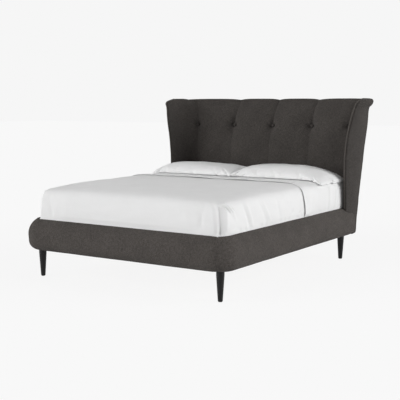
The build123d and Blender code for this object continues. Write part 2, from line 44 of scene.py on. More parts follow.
# Sizes shared with the part's source, and those of the cloth over it
ROOM_X = 0.805
RAIL_THICKNESS = 0.070
RAIL_LIFT = 0.198
RAIL_HEIGHT = 0.226
RAIL_NOSE = 0.108
RAIL_UNDER_RADIUS = 0.066
RAIL_CORNER = (0.725, -1.016)
RAIL_CORNER_INNER = 0.080
RAIL_END_Y = 0.799
RAIL_SEAM_ANGLE = 27.0
RAIL_MIDDLE, SEAM_PULL, SEAM_DIP = (0.030, 0.100), 0.0034, 0.0016
RAIL_END_ROUNDING = 0.020
CROWN_RISE = RAIL_HEIGHT - RAIL_NOSE
CROWN_RADIUS = (RAIL_THICKNESS**2 + CROWN_RISE**2) / (2 * RAIL_THICKNESS)
ROOM_CORNER_RADIUS = 0.070
CORE_THICKNESS, CORE_HEIGHT, CORE_LIFT = 0.025, 0.165, 0.010
ROOM_FOOT_Y, HEAD_LINE = -1.096, 0.914
HEADBOARD_LEAN, HEADBOARD_SWEEP = 0.231, 0.136
HEADBOARD_FOOT, PAD_FOOT, ROLL_Z, HEADBOARD_TOP = 0.205, 0.345, 1.215, 1.286
WING_DEPTH, WING_EDGE_X, WING_FLARE, WING_BULGE = 0.250, 0.830, 0.080, 0.027
NOSE_HALF, NOSE_SETBACK, NOSE_RAKE = 0.013, 0.005, 0.008
BOARD_THICKNESS, BOARD_SETBACK, BOARD_GAP = 0.015, 0.026, 0.0003
BOARD_FOOT_Y, BOARD_TOP_Y, BACK_PADDING = 0.974, 1.113, 0.020
CORNER_RADIUS, CORNER_GROWTH, CORNER_PAD = 0.160, 0.090, 0.018
CORNER_SEAM_X, CORNER_SEAM_SPREAD, INNER_SEAM_SHARE = 0.720, 0.100, 0.525
TUFT_DEPTH, LIP_OVERHANG, WELT_RADIUS = 0.032, 0.018, 0.0045
GAP = 0.0004
CREST_DIP, WING_CONVEX = 0.0100, 0.009
BUTTON_Z = 1.0584
MATTRESS_X, MATTRESS_FOOT_Y, MATTRESS_HEAD_Y = 0.795, -1.086, 0.904
MATTRESS_Z, MATTRESS_TOP, MATTRESS_CORNER = 0.345, 0.655, 0.072
MATTRESS_BULGE, MATTRESS_INSET, BLOCK_HEIGHT, BLOCK_REACH = 0.009, 0.140, 0.310, 0.802
HIDDEN_SINK, BEDDING_SPLIT, TUCK_SHARE, TUCK_Z = 0.009, -0.091, 0.17, 0.405
HEM_Y, HEM_OVERLAP = 0.052, 0.055
CORNER_TAPER, CORNER_DROP, CORNER_BATTER, CORNER_CRISP = 0.010, 0.027, 0.007, 0.62
PILLOW_INNER, PILLOW_OUTER, PILLOW_DEPTH, PILLOW_Y = -0.036, 0.807, 0.484, 0.541
PILLOW_PRESS, PILLOW_GAP, PILLOW_REST, SEAM_LIFT = 0.010, 0.0012, 0.0015, 0.017
SHEET_TOP = MATTRESS_TOP + 0.0065

# Headboard sections: height, then shares of lean, tuft, sweep, spread, flare, reach, bend, corner growth,
# wing bulge and lip, as in the part's source.
SECTIONS = np.array([
    (0.3450, 0.00, 0.15, 0.03, 0.00, 0.00, 0.94, 0.30, 0.00, 0.55, 0.00),
    (0.4233, 0.00, 0.15, 0.03, 0.00, 0.00, 0.94, 0.30, 0.00, 0.65, 0.00),
    (0.6234, 0.00, 0.19, 0.03, 0.00, 0.00, 0.98, 0.30, 0.05, 0.95, 0.00),
    (0.7800, 0.04, 0.25, 0.06, 0.00, 0.01, 0.99, 0.42, 0.05, 1.20, 0.00),
    (0.9018, 0.10, 0.38, 0.16, 0.03, 0.10, 1.00, 0.52, 0.10, 1.15, 0.00),
    (0.9975, 0.19, 0.62, 0.32, 0.07, 0.25, 1.00, 0.56, 0.20, 1.10, 0.00),
    (1.0584, 0.27, 1.00, 0.45, 0.10, 0.40, 0.99, 0.56, 0.35, 1.00, 0.00),
    (1.1280, 0.40, 0.62, 0.50, 0.20, 0.57, 0.96, 0.54, 0.60, 0.85, 0.00),
    (1.2150, 0.64, 0.42, 0.66, 0.37, 0.81, 0.89, 0.45, 1.00, 0.70, 0.00),
    (1.2292, 0.70, 0.38, 0.70, 0.43, 0.87, 0.88, 0.44, 1.00, 0.70, 0.55),
    (1.2448, 0.76, 0.35, 0.75, 0.53, 0.93, 0.85, 0.41, 1.00, 0.70, 0.92),
    (1.2619, 0.83, 0.31, 0.80, 0.70, 0.98, 0.76, 0.36, 1.00, 0.70, 1.00),
    (1.2768, 0.88, 0.27, 0.87, 0.88, 1.00, 0.52, 0.27, 1.00, 0.70, 0.62),
    (1.2839, 0.91, 0.25, 0.91, 0.97, 0.97, 0.36, 0.19, 1.00, 0.70, 0.05),
    (1.2860, 0.94, 0.25, 0.92, 1.00, 0.94, 0.30, 0.16, 1.00, 0.70, -0.45),
])

# Mattress block: shares of height, edge inset and bulge.
BLOCK = np.array([
    (0.00, 0.09, 0.03), (0.05, 0.02, 0.03), (0.12, 0.00, 0.03), (0.26, 0.00, 0.05), (0.36, 0.00, 0.75),
    (0.50, 0.00, 1.00), (0.72, 0.02, 0.80), (0.84, 0.08, 0.55), (0.92, 0.22, 0.40), (0.965, 0.45, 0.30),
    (0.99, 0.72, 0.20), (1.00, 1.00, 0.20),
])


# Small numeric tools

WAVES, BUNCHING = 9, 0.75


def pchip(xs, ys, x):
    """Smooth interpolation that doesn't overshoot its points."""
    xs, ys, x = np.asarray(xs, float), np.asarray(ys, float), np.asarray(x, float)
    h = np.diff(xs)
    d = np.diff(ys) / h
    m = np.zeros_like(ys)
    w1, w2 = 2 * h[1:] + h[:-1], h[1:] + 2 * h[:-1]
    rising = d[:-1] * d[1:] > 0
    safe_a, safe_b = np.where(rising, d[:-1], 1.0), np.where(rising, d[1:], 1.0)
    m[1:-1] = np.where(rising, (w1 + w2) / (w1 / safe_a + w2 / safe_b), 0.0)
    m[0], m[-1] = d[0], d[-1]
    i = np.clip(np.searchsorted(xs, x, side="right") - 1, 0, len(h) - 1)
    t = (x - xs[i]) / h[i]
    return ((2 * t**3 - 3 * t**2 + 1) * ys[i] + (t**3 - 2 * t**2 + t) * h[i] * m[i]
            + (3 * t**2 - 2 * t**3) * ys[i + 1] + (t**3 - t**2) * h[i] * m[i + 1])


def ease(a, b, x):
    """0 below a, 1 above b, smooth between."""
    t = np.clip((np.asarray(x, float) - a) / (b - a), 0.0, 1.0)
    return t * t * (3 - 2 * t)


def bell(x, width):
    """1 at zero, falling off to both sides over a width."""
    return np.exp(-(x / width) ** 2)


def wobble(points, size, seed):
    """Smooth, repeatable undulation between about -1 and 1, with features of a given size: WAVES sines."""
    rng = np.random.default_rng(seed)
    total = np.zeros(points.shape[:-1])
    for _ in range(WAVES):
        direction = rng.normal(size=3)
        direction /= np.linalg.norm(direction)
        length = size * rng.uniform(0.7, 1.6)
        total += np.sin(points @ direction * 2 * math.pi / length + rng.uniform(0, 6.3))
    return total / math.sqrt(WAVES)


def bunched(count):
    """Shares from 0 to under 1, closer together at both ends."""
    t = np.arange(count) / count
    return t - BUNCHING * np.sin(2 * math.pi * t) / (2 * math.pi)


def running(steps):
    """Distances from the start of a line to each of its points."""
    return np.concatenate([[0.0], np.cumsum(steps)])


def run_along(grid):
    """Distance along each row of points from its first one."""
    steps = np.linalg.norm(np.diff(grid, axis=1), axis=2)
    return np.concatenate([np.zeros((len(grid), 1)), np.cumsum(steps, axis=1)], axis=1)


def at_height(rows, z):
    """Rows of flat points, each row lifted to its height."""
    return np.concatenate([rows, np.broadcast_to(z[:, None, None], (*rows.shape[:2], 1))], axis=2)


def from_edge(count):
    """How many columns away the nearer edge is, for each column."""
    return np.minimum(np.arange(count), np.arange(count)[::-1])


def crease(y, z, start, end, width):
    """Strength of a crease along a line in the side's plane, fading at its ends."""
    a, b = np.array(start), np.array(end)
    along = b - a
    length = np.linalg.norm(along)
    along /= length
    dy, dz = y - a[0], z - a[1]
    t = dy * along[0] + dz * along[1]
    off = dy * along[1] - dz * along[0]
    fade = ease(-0.25 * length, 0.2 * length, t) * (1 - ease(0.75 * length, 1.25 * length, t))
    return bell(off, width) * fade


# Mesh tools

def place(name, data):
    """A new object in the scene."""
    obj = bpy.data.objects.new(name, data)
    bpy.context.scene.collection.objects.link(obj)
    return obj


def new_object(name, points, quads, corner_uvs, sharp=50.0):
    """A smooth mesh object from points, quads and a pair of UV numbers for each corner."""
    mesh = bpy.data.meshes.new(name)
    mesh.vertices.add(len(points))
    mesh.vertices.foreach_set("co", points.astype(np.float32).ravel())
    mesh.loops.add(quads.size)
    mesh.loops.foreach_set("vertex_index", quads.astype(np.int32).ravel())
    mesh.polygons.add(len(quads))
    mesh.polygons.foreach_set("loop_start", np.arange(0, quads.size, 4, dtype=np.int32))
    mesh.update(calc_edges=True)
    layer = mesh.uv_layers.new(name="UVMap")
    layer.data.foreach_set("uv", corner_uvs.astype(np.float32).ravel())
    tidy(mesh)
    mesh.polygons.foreach_set("use_smooth", np.ones(len(mesh.polygons), dtype=bool))
    mesh.set_sharp_from_angle(angle=math.radians(sharp))
    return place(name, mesh)


def tidy(mesh):
    """Merge doubled points, drop faces without area and turn all faces outward."""
    shell = bmesh.new()
    shell.from_mesh(mesh)
    bmesh.ops.remove_doubles(shell, verts=shell.verts, dist=1e-5)
    bmesh.ops.dissolve_degenerate(shell, edges=shell.edges, dist=1e-6)
    bmesh.ops.recalc_face_normals(shell, faces=shell.faces)
    shell.to_mesh(mesh)
    shell.free()
    mesh.update()


def grid_object(name, grid, closed=False, sharp=50.0):
    """A mesh from rows and columns of points, with UVs in metres. A closed grid joins its last column to its
    first."""
    rows, cols = grid.shape[:2]
    wide = np.concatenate([grid, grid[:, :1]], axis=1) if closed else grid
    u = running(np.linalg.norm(np.diff(wide, axis=1), axis=2).mean(axis=0))
    v = running(np.linalg.norm(np.diff(grid, axis=0), axis=2).mean(axis=1))
    r, c = np.meshgrid(np.arange(rows - 1), np.arange(wide.shape[1] - 1), indexing="ij")
    r, c = r.ravel(), c.ravel()
    after = (c + 1) % cols
    quads = np.stack([r * cols + c, r * cols + after, (r + 1) * cols + after, (r + 1) * cols + c], axis=1)
    corners = ((c, r), (c + 1, r), (c + 1, r + 1), (c, r + 1))
    uvs = np.stack([np.stack([u[i], v[j]], 1) for i, j in corners], axis=1)
    return new_object(name, grid.reshape(-1, 3), quads, uvs, sharp)


def apply_modifiers(obj):
    """Replace a piece's mesh by what its modifiers make of it."""
    made = bpy.data.meshes.new_from_object(obj.evaluated_get(bpy.context.evaluated_depsgraph_get()))
    obj.modifiers.clear()
    obj.data = made


def cut_away(obj, outline, y0, y1):
    """Cut a prism away from a closed piece: an outline of (x, z) points, swept from y0 to y1."""
    cutter = bpy.data.meshes.new("cutter")
    shell = bmesh.new()
    near = [shell.verts.new((x, y0, z)) for x, z in outline]
    far = [shell.verts.new((x, y1, z)) for x, z in outline]
    shell.faces.new(near)
    shell.faces.new(far[::-1])
    for i in range(len(outline)):
        j = (i + 1) % len(outline)
        shell.faces.new((near[j], near[i], far[i], far[j]))
    bmesh.ops.recalc_face_normals(shell, faces=shell.faces)
    shell.to_mesh(cutter)
    shell.free()
    tool = place("cutter", cutter)
    modifier = obj.modifiers.new("cut", "BOOLEAN")
    modifier.operation, modifier.solver, modifier.object = "DIFFERENCE", "EXACT", tool
    apply_modifiers(obj)
    bpy.data.objects.remove(tool)


PIECES = []


def finish_piece(obj, nodes=()):
    """Tie a piece to the part: its body and the nodes it stands for."""
    PIECES.append(obj.name)
    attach(obj, "root")
    if nodes:
        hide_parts(*nodes)
    return obj


# Headboard

PROFILE_RUN = running(np.hypot(np.diff(SECTIONS[:, 0]), np.diff(SECTIONS[:, 1]) * HEADBOARD_LEAN))


def board_front(z):
    """Front of the reclined back board at height z."""
    slope = (BOARD_TOP_Y - BOARD_FOOT_Y) / (ROLL_Z - HEADBOARD_FOOT)
    return BOARD_FOOT_Y + slope * (np.minimum(z, ROLL_Z) - HEADBOARD_FOOT)


def section_values(lengths):
    """Real sizes of headboard sections at distances along the profile, as arrays."""
    z, lean, tuft, sweep, spread, flare, reach, bend, growth, bulge, lip = (
        pchip(PROFILE_RUN, SECTIONS[:, k], lengths) for k in range(SECTIONS.shape[1]))
    channel_y = HEAD_LINE + lean * HEADBOARD_LEAN
    seam_y = channel_y + tuft * TUFT_DEPTH
    edge_x = WING_EDGE_X + flare * WING_FLARE
    board_y = board_front(z)
    corner_x = CORNER_SEAM_X + spread * CORNER_SEAM_SPREAD
    return {
        "z": z, "edge_x": edge_x, "edge_y": HEAD_LINE - reach * WING_DEPTH, "seam_y": seam_y,
        "tuft": tuft * TUFT_DEPTH, "corner_x": corner_x, "corner_y": seam_y - sweep * HEADBOARD_SWEEP,
        "inner_x": np.full_like(z, CORNER_SEAM_X * INNER_SEAM_SHARE),
        "inner_y": seam_y - sweep * HEADBOARD_SWEEP * INNER_SEAM_SHARE**3,
        "bend_x": edge_x - CORNER_PAD, "bend_y": HEAD_LINE - bend * WING_DEPTH,
        "radius": CORNER_RADIUS + growth * CORNER_GROWTH, "board_y": board_y,
        "cover_x": edge_x + bulge * WING_BULGE, "cover_y": board_y + BOARD_THICKNESS + BACK_PADDING,
        "lip": lip * LIP_OVERHANG,
    }


def profile_length(z):
    """Distance along the headboard's profile at height z."""
    dense = np.linspace(0, PROFILE_RUN[-1], 4000)
    return np.interp(z, pchip(PROFILE_RUN, SECTIONS[:, 0], dense), dense)


def arc(a, b, depth, t, soft=None):
    """Points of arcs between rows of end points a and b that leave their chords by depth, to the right. Soft
    arcs run level into their ends."""
    ax, ay, bx, by = (v[:, None] for v in (*a, *b))
    s = np.where(np.abs(depth) < 1e-5, 1e-5, depth)[:, None]
    dx, dy = bx - ax, by - ay
    chord = np.hypot(dx, dy)
    radius = (chord**2 / 4 + s**2) / (2 * s)
    turn = 2 * np.arctan2(2 * np.abs(s), chord) * np.sign(s)
    along = chord / 2 + radius * np.sin(turn * (2 * t - 1))
    out = radius * np.cos(turn * (2 * t - 1)) - (radius - s)
    if soft is not None:
        share = along / chord
        out = out + soft[:, None] * (s * np.sin(math.pi * share) ** 2 * 0.94 - out)
    return np.stack([ax + (along * dx + out * dy) / chord, ay + (along * dy - out * dx) / chord], axis=-1)


# Shares along each part of the right half of an outline, and the columns where its seams lie
SPANS = [np.arange(24) / 24, np.arange(34) / 34, bunched(64), bunched(64)]
SEAM_COLUMNS = [58, 122, 186, 250, 314]


def outline(corners, depths, soft=None):
    """Outline from the right nose to the left one. Corners and depths hold arrays over the rows."""
    parts = [arc(corners[i], corners[i + 1], depths[i], t[None, :], soft if i > 1 else None)
             for i, t in enumerate(SPANS)]
    right = np.concatenate(parts, axis=1)
    middle = np.stack([corners[-1][0], corners[-1][1]], axis=-1)[:, None]
    return np.concatenate([right, middle, (right * [-1, 1])[:, ::-1]], axis=1)


def turn_depth(v):
    """Sagitta of the arc that leaves the wing in line with it and ends at the corner seam."""
    ax, ay = v["bend_x"] - (v["edge_x"] - NOSE_HALF), v["bend_y"] - (v["edge_y"] + NOSE_SETBACK + NOSE_RAKE)
    bx, by = v["corner_x"] - v["bend_x"], v["corner_y"] - v["bend_y"]
    chord = np.hypot(bx, by)
    turn = np.arcsin((ax * by - ay * bx) / (np.hypot(ax, ay) * chord))
    return chord / 2 * np.tan(turn / 2)


def front_outline(v):
    """Front line of the channels and the wings' insides."""
    zero = np.zeros_like(v["z"])
    corners = [(v["edge_x"] - NOSE_HALF, v["edge_y"] + NOSE_SETBACK + NOSE_RAKE), (v["bend_x"], v["bend_y"]),
               (v["corner_x"], v["corner_y"]), (v["inner_x"], v["inner_y"]), (zero, v["seam_y"])]
    near = bell(v["z"] - BUTTON_Z, 0.055)
    soft = 0.60 - 0.35 * near - 0.20 * ease(1.10, 1.24, v["z"])
    return outline(corners, [zero, turn_depth(v), -v["tuft"], -v["tuft"]], soft)


def outside_outline(v, grow=0.0):
    """Outer line of wings and back, grown by a width."""
    zero = np.zeros_like(v["z"])
    x, y, r = v["cover_x"] + grow, v["cover_y"] + grow, v["radius"] + grow
    corners = [(v["edge_x"] + NOSE_HALF + grow, v["edge_y"] + NOSE_SETBACK + NOSE_RAKE), (x, y - r),
               (x - r, y), (v["inner_x"], y), (zero, y)]
    return outline(corners, [zero + WING_CONVEX, r * (1 - math.cos(math.pi / 4)), zero, zero])


def board_outline(v, offset):
    """Line of the boards inside the upholstery, moved outward by an offset."""
    zero = np.zeros_like(v["z"])
    x, y = v["edge_x"] - BOARD_THICKNESS / 2 + offset, v["board_y"] + offset
    corners = [(x, v["edge_y"] + BOARD_SETBACK), (x, v["cover_y"] - v["radius"]),
               (v["cover_x"] - v["radius"], y), (v["inner_x"], y), (zero, y)]
    return outline(corners, [zero, zero, zero, zero])


def rings(front, nose, back, z):
    """Closed rings: front, round the left nose, back, and round the right nose."""
    left = nose * [-1, 1]
    return at_height(np.concatenate([front, left, back[:, ::-1], nose[:, ::-1]], axis=1), z)


def closing(ring, count, dome=0.0):
    """Rings that draw a ring of front and back halves together to its middle line."""
    front, back = ring[:count], ring[count + 3:2 * count + 3][::-1]
    middle = (front + back) / 2
    target = np.concatenate([middle, np.repeat(middle[-1:], 3, 0), middle[::-1], np.repeat(middle[:1], 3, 0)])
    out = []
    for t in (0.3, 0.6, 0.85, 1.0):
        step = ring + (target - ring) * t
        step[:, 2] += dome * math.sin(t * math.pi / 2)
        out.append(step)
    return np.array(out)


def nose_points(v, kind):
    """Three points round the right nose of each row."""
    x, y = v["edge_x"], v["edge_y"]
    spots = {
        "pad": [(-0.0075, 0.0060), (-0.0002, 0.0050), (-0.0002, 0.0257)],
        "roll": [(-0.0080, 0.0055), (0.0, 0.0030), (0.0080, 0.0055)],
        "cover": [(0.0075, 0.0060), (0.0002, 0.0050), (0.0002, 0.0257)],
    }[kind]
    return np.stack([np.stack([x + dx, y + dy], axis=-1) for dx, dy in spots], axis=1)


def tufting(front, z):
    """How far seams, the buttons' pits and their pull lines sink the front, and how far it swells."""
    run = run_along(front)
    level = front[..., 2]
    depth = 0.0012 * wobble(front, 0.16, 3) + 0.0006 * wobble(front, 0.06, 4)
    row = int(np.argmin(np.abs(z - BUTTON_Z)))
    for k, column in enumerate(SEAM_COLUMNS):
        off = run - run[:, column:column + 1]
        centre = front[row, column]
        r = np.linalg.norm(front - centre, axis=2)
        rise = level - centre[2]
        wander = 0.004 * np.sin(rise * 14 + k) * ease(0.03, 0.2, np.abs(rise))
        above = ease(-0.02, 0.06, rise)
        strength = 0.50 + 0.50 * above
        depth -= strength * (0.0024 * bell(off - wander, 0.0045) + 0.0052 * bell(off - wander, 0.021))
        depth -= 0.0120 * bell(r, 0.018) + 0.0065 * bell(r, 0.040)
        depth += 0.0050 * bell(np.abs(off) - 0.062, 0.034) * bell(rise, 0.085)
        angle = np.arctan2(rise, off)
        spokes = np.cos(5 * angle + 0.7 * k) + 0.6 * np.cos(3 * angle + 1.9 * k)
        depth += 0.0013 * spokes * bell(r - 0.045, 0.030)
        depth -= 0.0020 * bell(rise + 0.15 * np.abs(off), 0.011) * np.exp(-np.abs(off) / 0.05)
        depth -= 0.0016 * bell(rise - 0.35 * off, 0.010) * np.exp(-np.abs(off) / 0.06) * ease(0.0, 0.02, off)
    return depth


def grid_normals(grid):
    """Unit normals of a grid of points, towards the sleeper."""
    normal = np.cross(np.gradient(grid, axis=1), np.gradient(grid, axis=0))
    normal /= np.maximum(np.linalg.norm(normal, axis=2, keepdims=True), 1e-9)
    middle = normal[:, normal.shape[1] // 2, 1].mean()
    return -normal if middle > 0 else normal


def crest_dip(ring):
    """Each channel's crest is an arch between its two seams."""
    weight = ease(1.225, 1.280, ring[..., 2])
    mitre = CORNER_SEAM_X + CORNER_SEAM_SPREAD + 0.40 * np.maximum(ring[..., 1] - 0.80, 0)
    seams = [0.0, CORNER_SEAM_X * INNER_SEAM_SHARE + 0.012, mitre]
    x = np.abs(ring[..., 0])
    for inner, outer in zip(seams, seams[1:]):
        share = np.clip((x - inner) / (outer - inner), 0, 1)
        ring[..., 2] -= CREST_DIP * weight * np.abs(2 * share - 1) ** 4 * (x >= inner) * (x < outer)
    return ring


def headboard_pad():
    """Tufted front in six channels, the wings' insides and the roll over the top, as one closed piece."""
    roll_s = profile_length(ROLL_Z)
    top_s = profile_length(HEADBOARD_TOP - 1e-7)
    # Rows lie closest together round the buttons
    low = profile_length(np.concatenate([
        np.arange(PAD_FOOT, 0.94, 0.014), np.arange(0.945, 1.0, 0.007), np.arange(1.003, 1.12, 0.0035),
        np.arange(1.124, ROLL_Z - 0.004, 0.006)]))
    low = np.concatenate([low, [roll_s]])
    high = np.linspace(roll_s, top_s, 36)
    v_low, v_high = section_values(low), section_values(high)
    front = np.concatenate([front_outline(v_low), front_outline(v_high)[1:]])
    z = np.concatenate([v_low["z"], v_high["z"][1:]])
    front = at_height(front, z)
    count, low_rows = front.shape[1], len(low)
    fade = 1 - 0.75 * ease(1.255, HEADBOARD_TOP, front[..., 2])
    depth = tufting(front, z) * fade * ease(0, 14, from_edge(count))[None]
    front = front + grid_normals(front) * depth[..., None]

    back = board_outline(v_low, -BOARD_GAP)
    lower = rings(front[:low_rows, :, :2], nose_points(v_low, "pad"), back, v_low["z"])
    outer, flush = outside_outline(v_high, v_high["lip"]), outside_outline(v_high)
    back = outer + 0.55 * (1 - ease(0.70, 0.98, outer[..., 1:])) * (flush - outer)
    upper = rings(front[low_rows - 1:, :, :2], nose_points(v_high, "roll"), back, v_high["z"])
    lower[:, :count, 2] = front[:low_rows, :, 2]
    upper[:, :count, 2] = front[low_rows - 1:, :, 2]
    upper = crest_dip(upper)
    foot = closing(lower[0], count)[::-1]
    crown = closing(upper[-1], count, dome=0.0015)
    pad = grid_object("headboard_pad_cloth", np.concatenate([foot, lower, upper, crown]), closed=True)
    notch_wings(pad)
    return finish_piece(pad, ["headboard_pad"])


def notch_wings(obj):
    """Leave the space of the rails that pass under the wings: all below their crowns."""
    centre_x, nose_z = ROOM_X + RAIL_THICKNESS - CROWN_RADIUS, RAIL_LIFT + RAIL_NOSE
    grown = CROWN_RADIUS + GAP
    limit = math.acos((CROWN_RADIUS - RAIL_THICKNESS) / grown)
    angles = np.linspace(0, limit, 16)
    crown = [(centre_x + grown * math.cos(a), nose_z + grown * math.sin(a)) for a in angles]
    inside, below = ROOM_X - 0.04, 0.1
    shape = crown + [(inside, crown[-1][1]), (inside, below), (crown[0][0], below)]
    for side in (1, -1):
        cut_away(obj, [(side * x, z) for x, z in shape][::side], y0=0.3, y1=RAIL_END_Y + GAP)


def headboard_cover():
    """Upholstered outside of wings and back, with a stitched seam at each rear corner and a turned hem."""
    z = np.concatenate([np.arange(HEADBOARD_FOOT, ROLL_Z - 0.012, 0.014), [ROLL_Z - 0.006, ROLL_Z - 0.0003]])
    v = section_values(profile_length(np.maximum(z, PAD_FOOT)))
    v["z"], v["board_y"] = z, board_front(z)
    v["cover_y"] = v["board_y"] + BOARD_THICKNESS + BACK_PADDING
    skin = at_height(outside_outline(v), z)
    count = skin.shape[1]
    normal = -grid_normals(skin)
    run = run_along(skin)
    depth = 0.0010 * wobble(skin, 0.22, 11) + 0.0004 * wobble(skin, 0.07, 12)
    for column in (SEAM_COLUMNS[0], SEAM_COLUMNS[-1]):
        off = run - run[:, column:column + 1]
        depth -= 0.0022 * bell(off, 0.0035) + 0.0012 * bell(np.abs(off) - 0.012, 0.004)
    depth -= 0.0028 * (1 - ease(HEADBOARD_FOOT, HEADBOARD_FOOT + 0.012, skin[..., 2]))
    skin = skin + normal * (depth * ease(0, 6, from_edge(count))[None])[..., None]
    ring = rings(skin[..., :2], nose_points(v, "cover"), board_outline(v, BOARD_THICKNESS + 2 * BOARD_GAP), z)
    grid = np.concatenate([closing(ring[0], count)[::-1], ring, closing(ring[-1], count)])
    cover = grid_object("headboard_outside_cloth", grid, closed=True)
    notch_wings(cover)
    return finish_piece(cover, ["headboard_back_cover"])


def tube(name, path, radius, sides):
    """A round tube along a path of points, closed by rounded ends."""
    tangent = np.gradient(path, axis=0)
    tangent /= np.linalg.norm(tangent, axis=1, keepdims=True)
    side = np.cross(tangent, [0.0, 0.3, 0.0] if abs(tangent[0][1]) < 0.7 else [1.0, 0.0, 0.0])
    side /= np.linalg.norm(side, axis=1, keepdims=True)
    other = np.cross(tangent, side)
    angle = np.arange(sides) * 2 * math.pi / sides
    c, s = np.cos(angle)[None, :, None], np.sin(angle)[None, :, None]
    circle = radius * (c * side[:, None] + s * other[:, None])
    body = path[:, None] + circle
    ends = []
    for end, sign in ((0, -1), (-1, 1)):
        caps = [path[end] + circle[end] * math.cos(t) + tangent[end] * sign * radius * 0.7 * math.sin(t)
                for t in (0.5, 1.0, 1.35, math.pi / 2)]
        ends.append(np.array(caps))
    return grid_object(name, np.concatenate([ends[0][::-1], body, ends[1]]), closed=True, sharp=80)


WELT_ENDS = (SECTIONS[1, 0], SECTIONS[13, 0])


def wing_welts():
    """Piping down each wing's front edge."""
    ends = [profile_length(z) for z in WELT_ENDS]
    v = section_values(np.linspace(*ends, 220))
    for side, word in ((1, "right"), (-1, "left")):
        path = np.stack([side * v["edge_x"], v["edge_y"], v["z"]], axis=1)
        welt = tube(f"wing_piping_{word}", path, WELT_RADIUS, sides=14)
        finish_piece(welt, [f"wing_welt_{word}"])


def button_spots():
    """Place and turn of each button on its seam."""
    v = section_values(profile_length(np.array([BUTTON_Z])))
    inner = (float(v["inner_x"][0]), float(v["inner_y"][0]))
    corner = (float(v["corner_x"][0]), float(v["corner_y"][0]))
    spots = [(0.0, float(v["seam_y"][0]), 0.0)]
    for (x, y), turn in ((inner, 0.0), (corner, math.radians(33.0))):
        spots += [(x, y, -turn), (-x, y, turn)]
    return spots


BUTTON_PROFILE = [(0.0, -0.0052), (0.004, -0.0051), (0.0075, -0.0045), (0.0105, -0.0031), (0.0126, -0.0011),
                  (0.0133, 0.0012), (0.0124, 0.0035), (0.0098, 0.0050), (0.0, 0.0056)]
BUTTON_SIDES, BUTTON_SINK = 40, 0.0085


def buttons():
    """Five cloth covered buttons, domed, with a puckered rim."""
    angle = np.arange(BUTTON_SIDES) * 2 * math.pi / BUTTON_SIDES
    made = []
    for k, (x, y, turn) in enumerate(button_spots()):
        rows = []
        for r, depth in BUTTON_PROFILE:
            rim = r * (1 + 0.02 * np.cos(10 * angle + k) * (r / 0.0133) ** 2)
            level = np.full(BUTTON_SIDES, depth)
            rows.append(np.stack([rim * np.cos(angle), level, rim * np.sin(angle)], axis=1))
        c, s = math.cos(turn), math.sin(turn)
        turned = np.array(rows) @ np.array([[c, s, 0.0], [-s, c, 0.0], [0.0, 0.0, 1.0]])
        spot = np.array([x, y, BUTTON_Z]) + np.array([-s, c, 0.0]) * BUTTON_SINK
        made.append(grid_object(f"button_{k}", turned + spot, closed=True, sharp=80))
    joined = join(made, "headboard_buttons_cloth")
    return finish_piece(joined, ["headboard_buttons"])


def join(objects, name):
    """One object from several."""
    shell = bmesh.new()
    for obj in objects:
        shell.from_mesh(obj.data)
    mesh = bpy.data.meshes.new(name)
    shell.to_mesh(mesh)
    shell.free()
    for obj in objects:
        bpy.data.objects.remove(obj)
    return place(name, mesh)


# Rails

def rail_profile():
    """Outer line of the bullnose section from its underside to its inner top edge, as (outward, up)."""
    t = RAIL_THICKNESS
    low = [(u, 0.0) for u in np.linspace(0.0, t - RAIL_UNDER_RADIUS, 3)]
    under = [(t - RAIL_UNDER_RADIUS * (1 - math.sin(a)), RAIL_UNDER_RADIUS * (1 - math.cos(a)))
             for a in np.linspace(0, math.pi / 2, 18)[1:]]
    side = [(t, z) for z in np.linspace(RAIL_UNDER_RADIUS, RAIL_NOSE, 6)[1:]]
    limit = math.asin(CROWN_RISE / CROWN_RADIUS)
    top = [(t - CROWN_RADIUS * (1 - math.cos(a)), RAIL_NOSE + CROWN_RADIUS * math.sin(a))
           for a in np.linspace(0, limit - 0.025, 24)[1:]]
    a, corner, b = np.array(top[-1]), np.array([0.0, RAIL_HEIGHT]), np.array([0.0, RAIL_HEIGHT - 0.006])
    edge = [tuple((1 - s) ** 2 * a + 2 * s * (1 - s) * corner + s**2 * b) for s in np.linspace(0, 1, 6)[1:]]
    return np.array(low + under + side + top + edge)


def rail_stations(kind):
    """Stations along the path: inner point, outward direction, distance to the inner wall and core depth."""
    turned = math.radians(90 - RAIL_SEAM_ANGLE)
    stations = []
    if kind == "side":
        end = RAIL_END_Y - RAIL_END_ROUNDING
        quarter = np.linspace(0, math.pi / 2, 9)[:-1]
        rounding = RAIL_END_Y - RAIL_END_ROUNDING * (1 - np.cos(quarter))
        for y in np.concatenate([rounding, np.linspace(end, RAIL_CORNER[1], 170)[:-1]]):
            core = CORE_THICKNESS if y > ROOM_FOOT_Y + ROOM_CORNER_RADIUS else 0.0
            stations.append(((ROOM_X, y), (1.0, 0.0), 0.0, core))
        angles = np.linspace(0, turned, 24)
    else:
        angles = np.linspace(turned, math.pi / 2, 16)
    for a in angles:
        out = (math.cos(a), -math.sin(a))
        spot = (RAIL_CORNER[0] + RAIL_CORNER_INNER * out[0], RAIL_CORNER[1] + RAIL_CORNER_INNER * out[1])
        stations.append((spot, out, room_wall(out) - RAIL_CORNER_INNER, 0.0))
    if kind == "foot":
        for x in np.linspace(RAIL_CORNER[0], 0, 60)[1:]:
            core = CORE_THICKNESS if x < ROOM_X - ROOM_CORNER_RADIUS else 0.0
            stations.append(((x, ROOM_FOOT_Y), (0.0, -1.0), 0.0, core))
        stations += [((-s[0][0], s[0][1]), (-s[1][0], s[1][1]), s[2], s[3]) for s in stations[-2::-1]]
    return stations


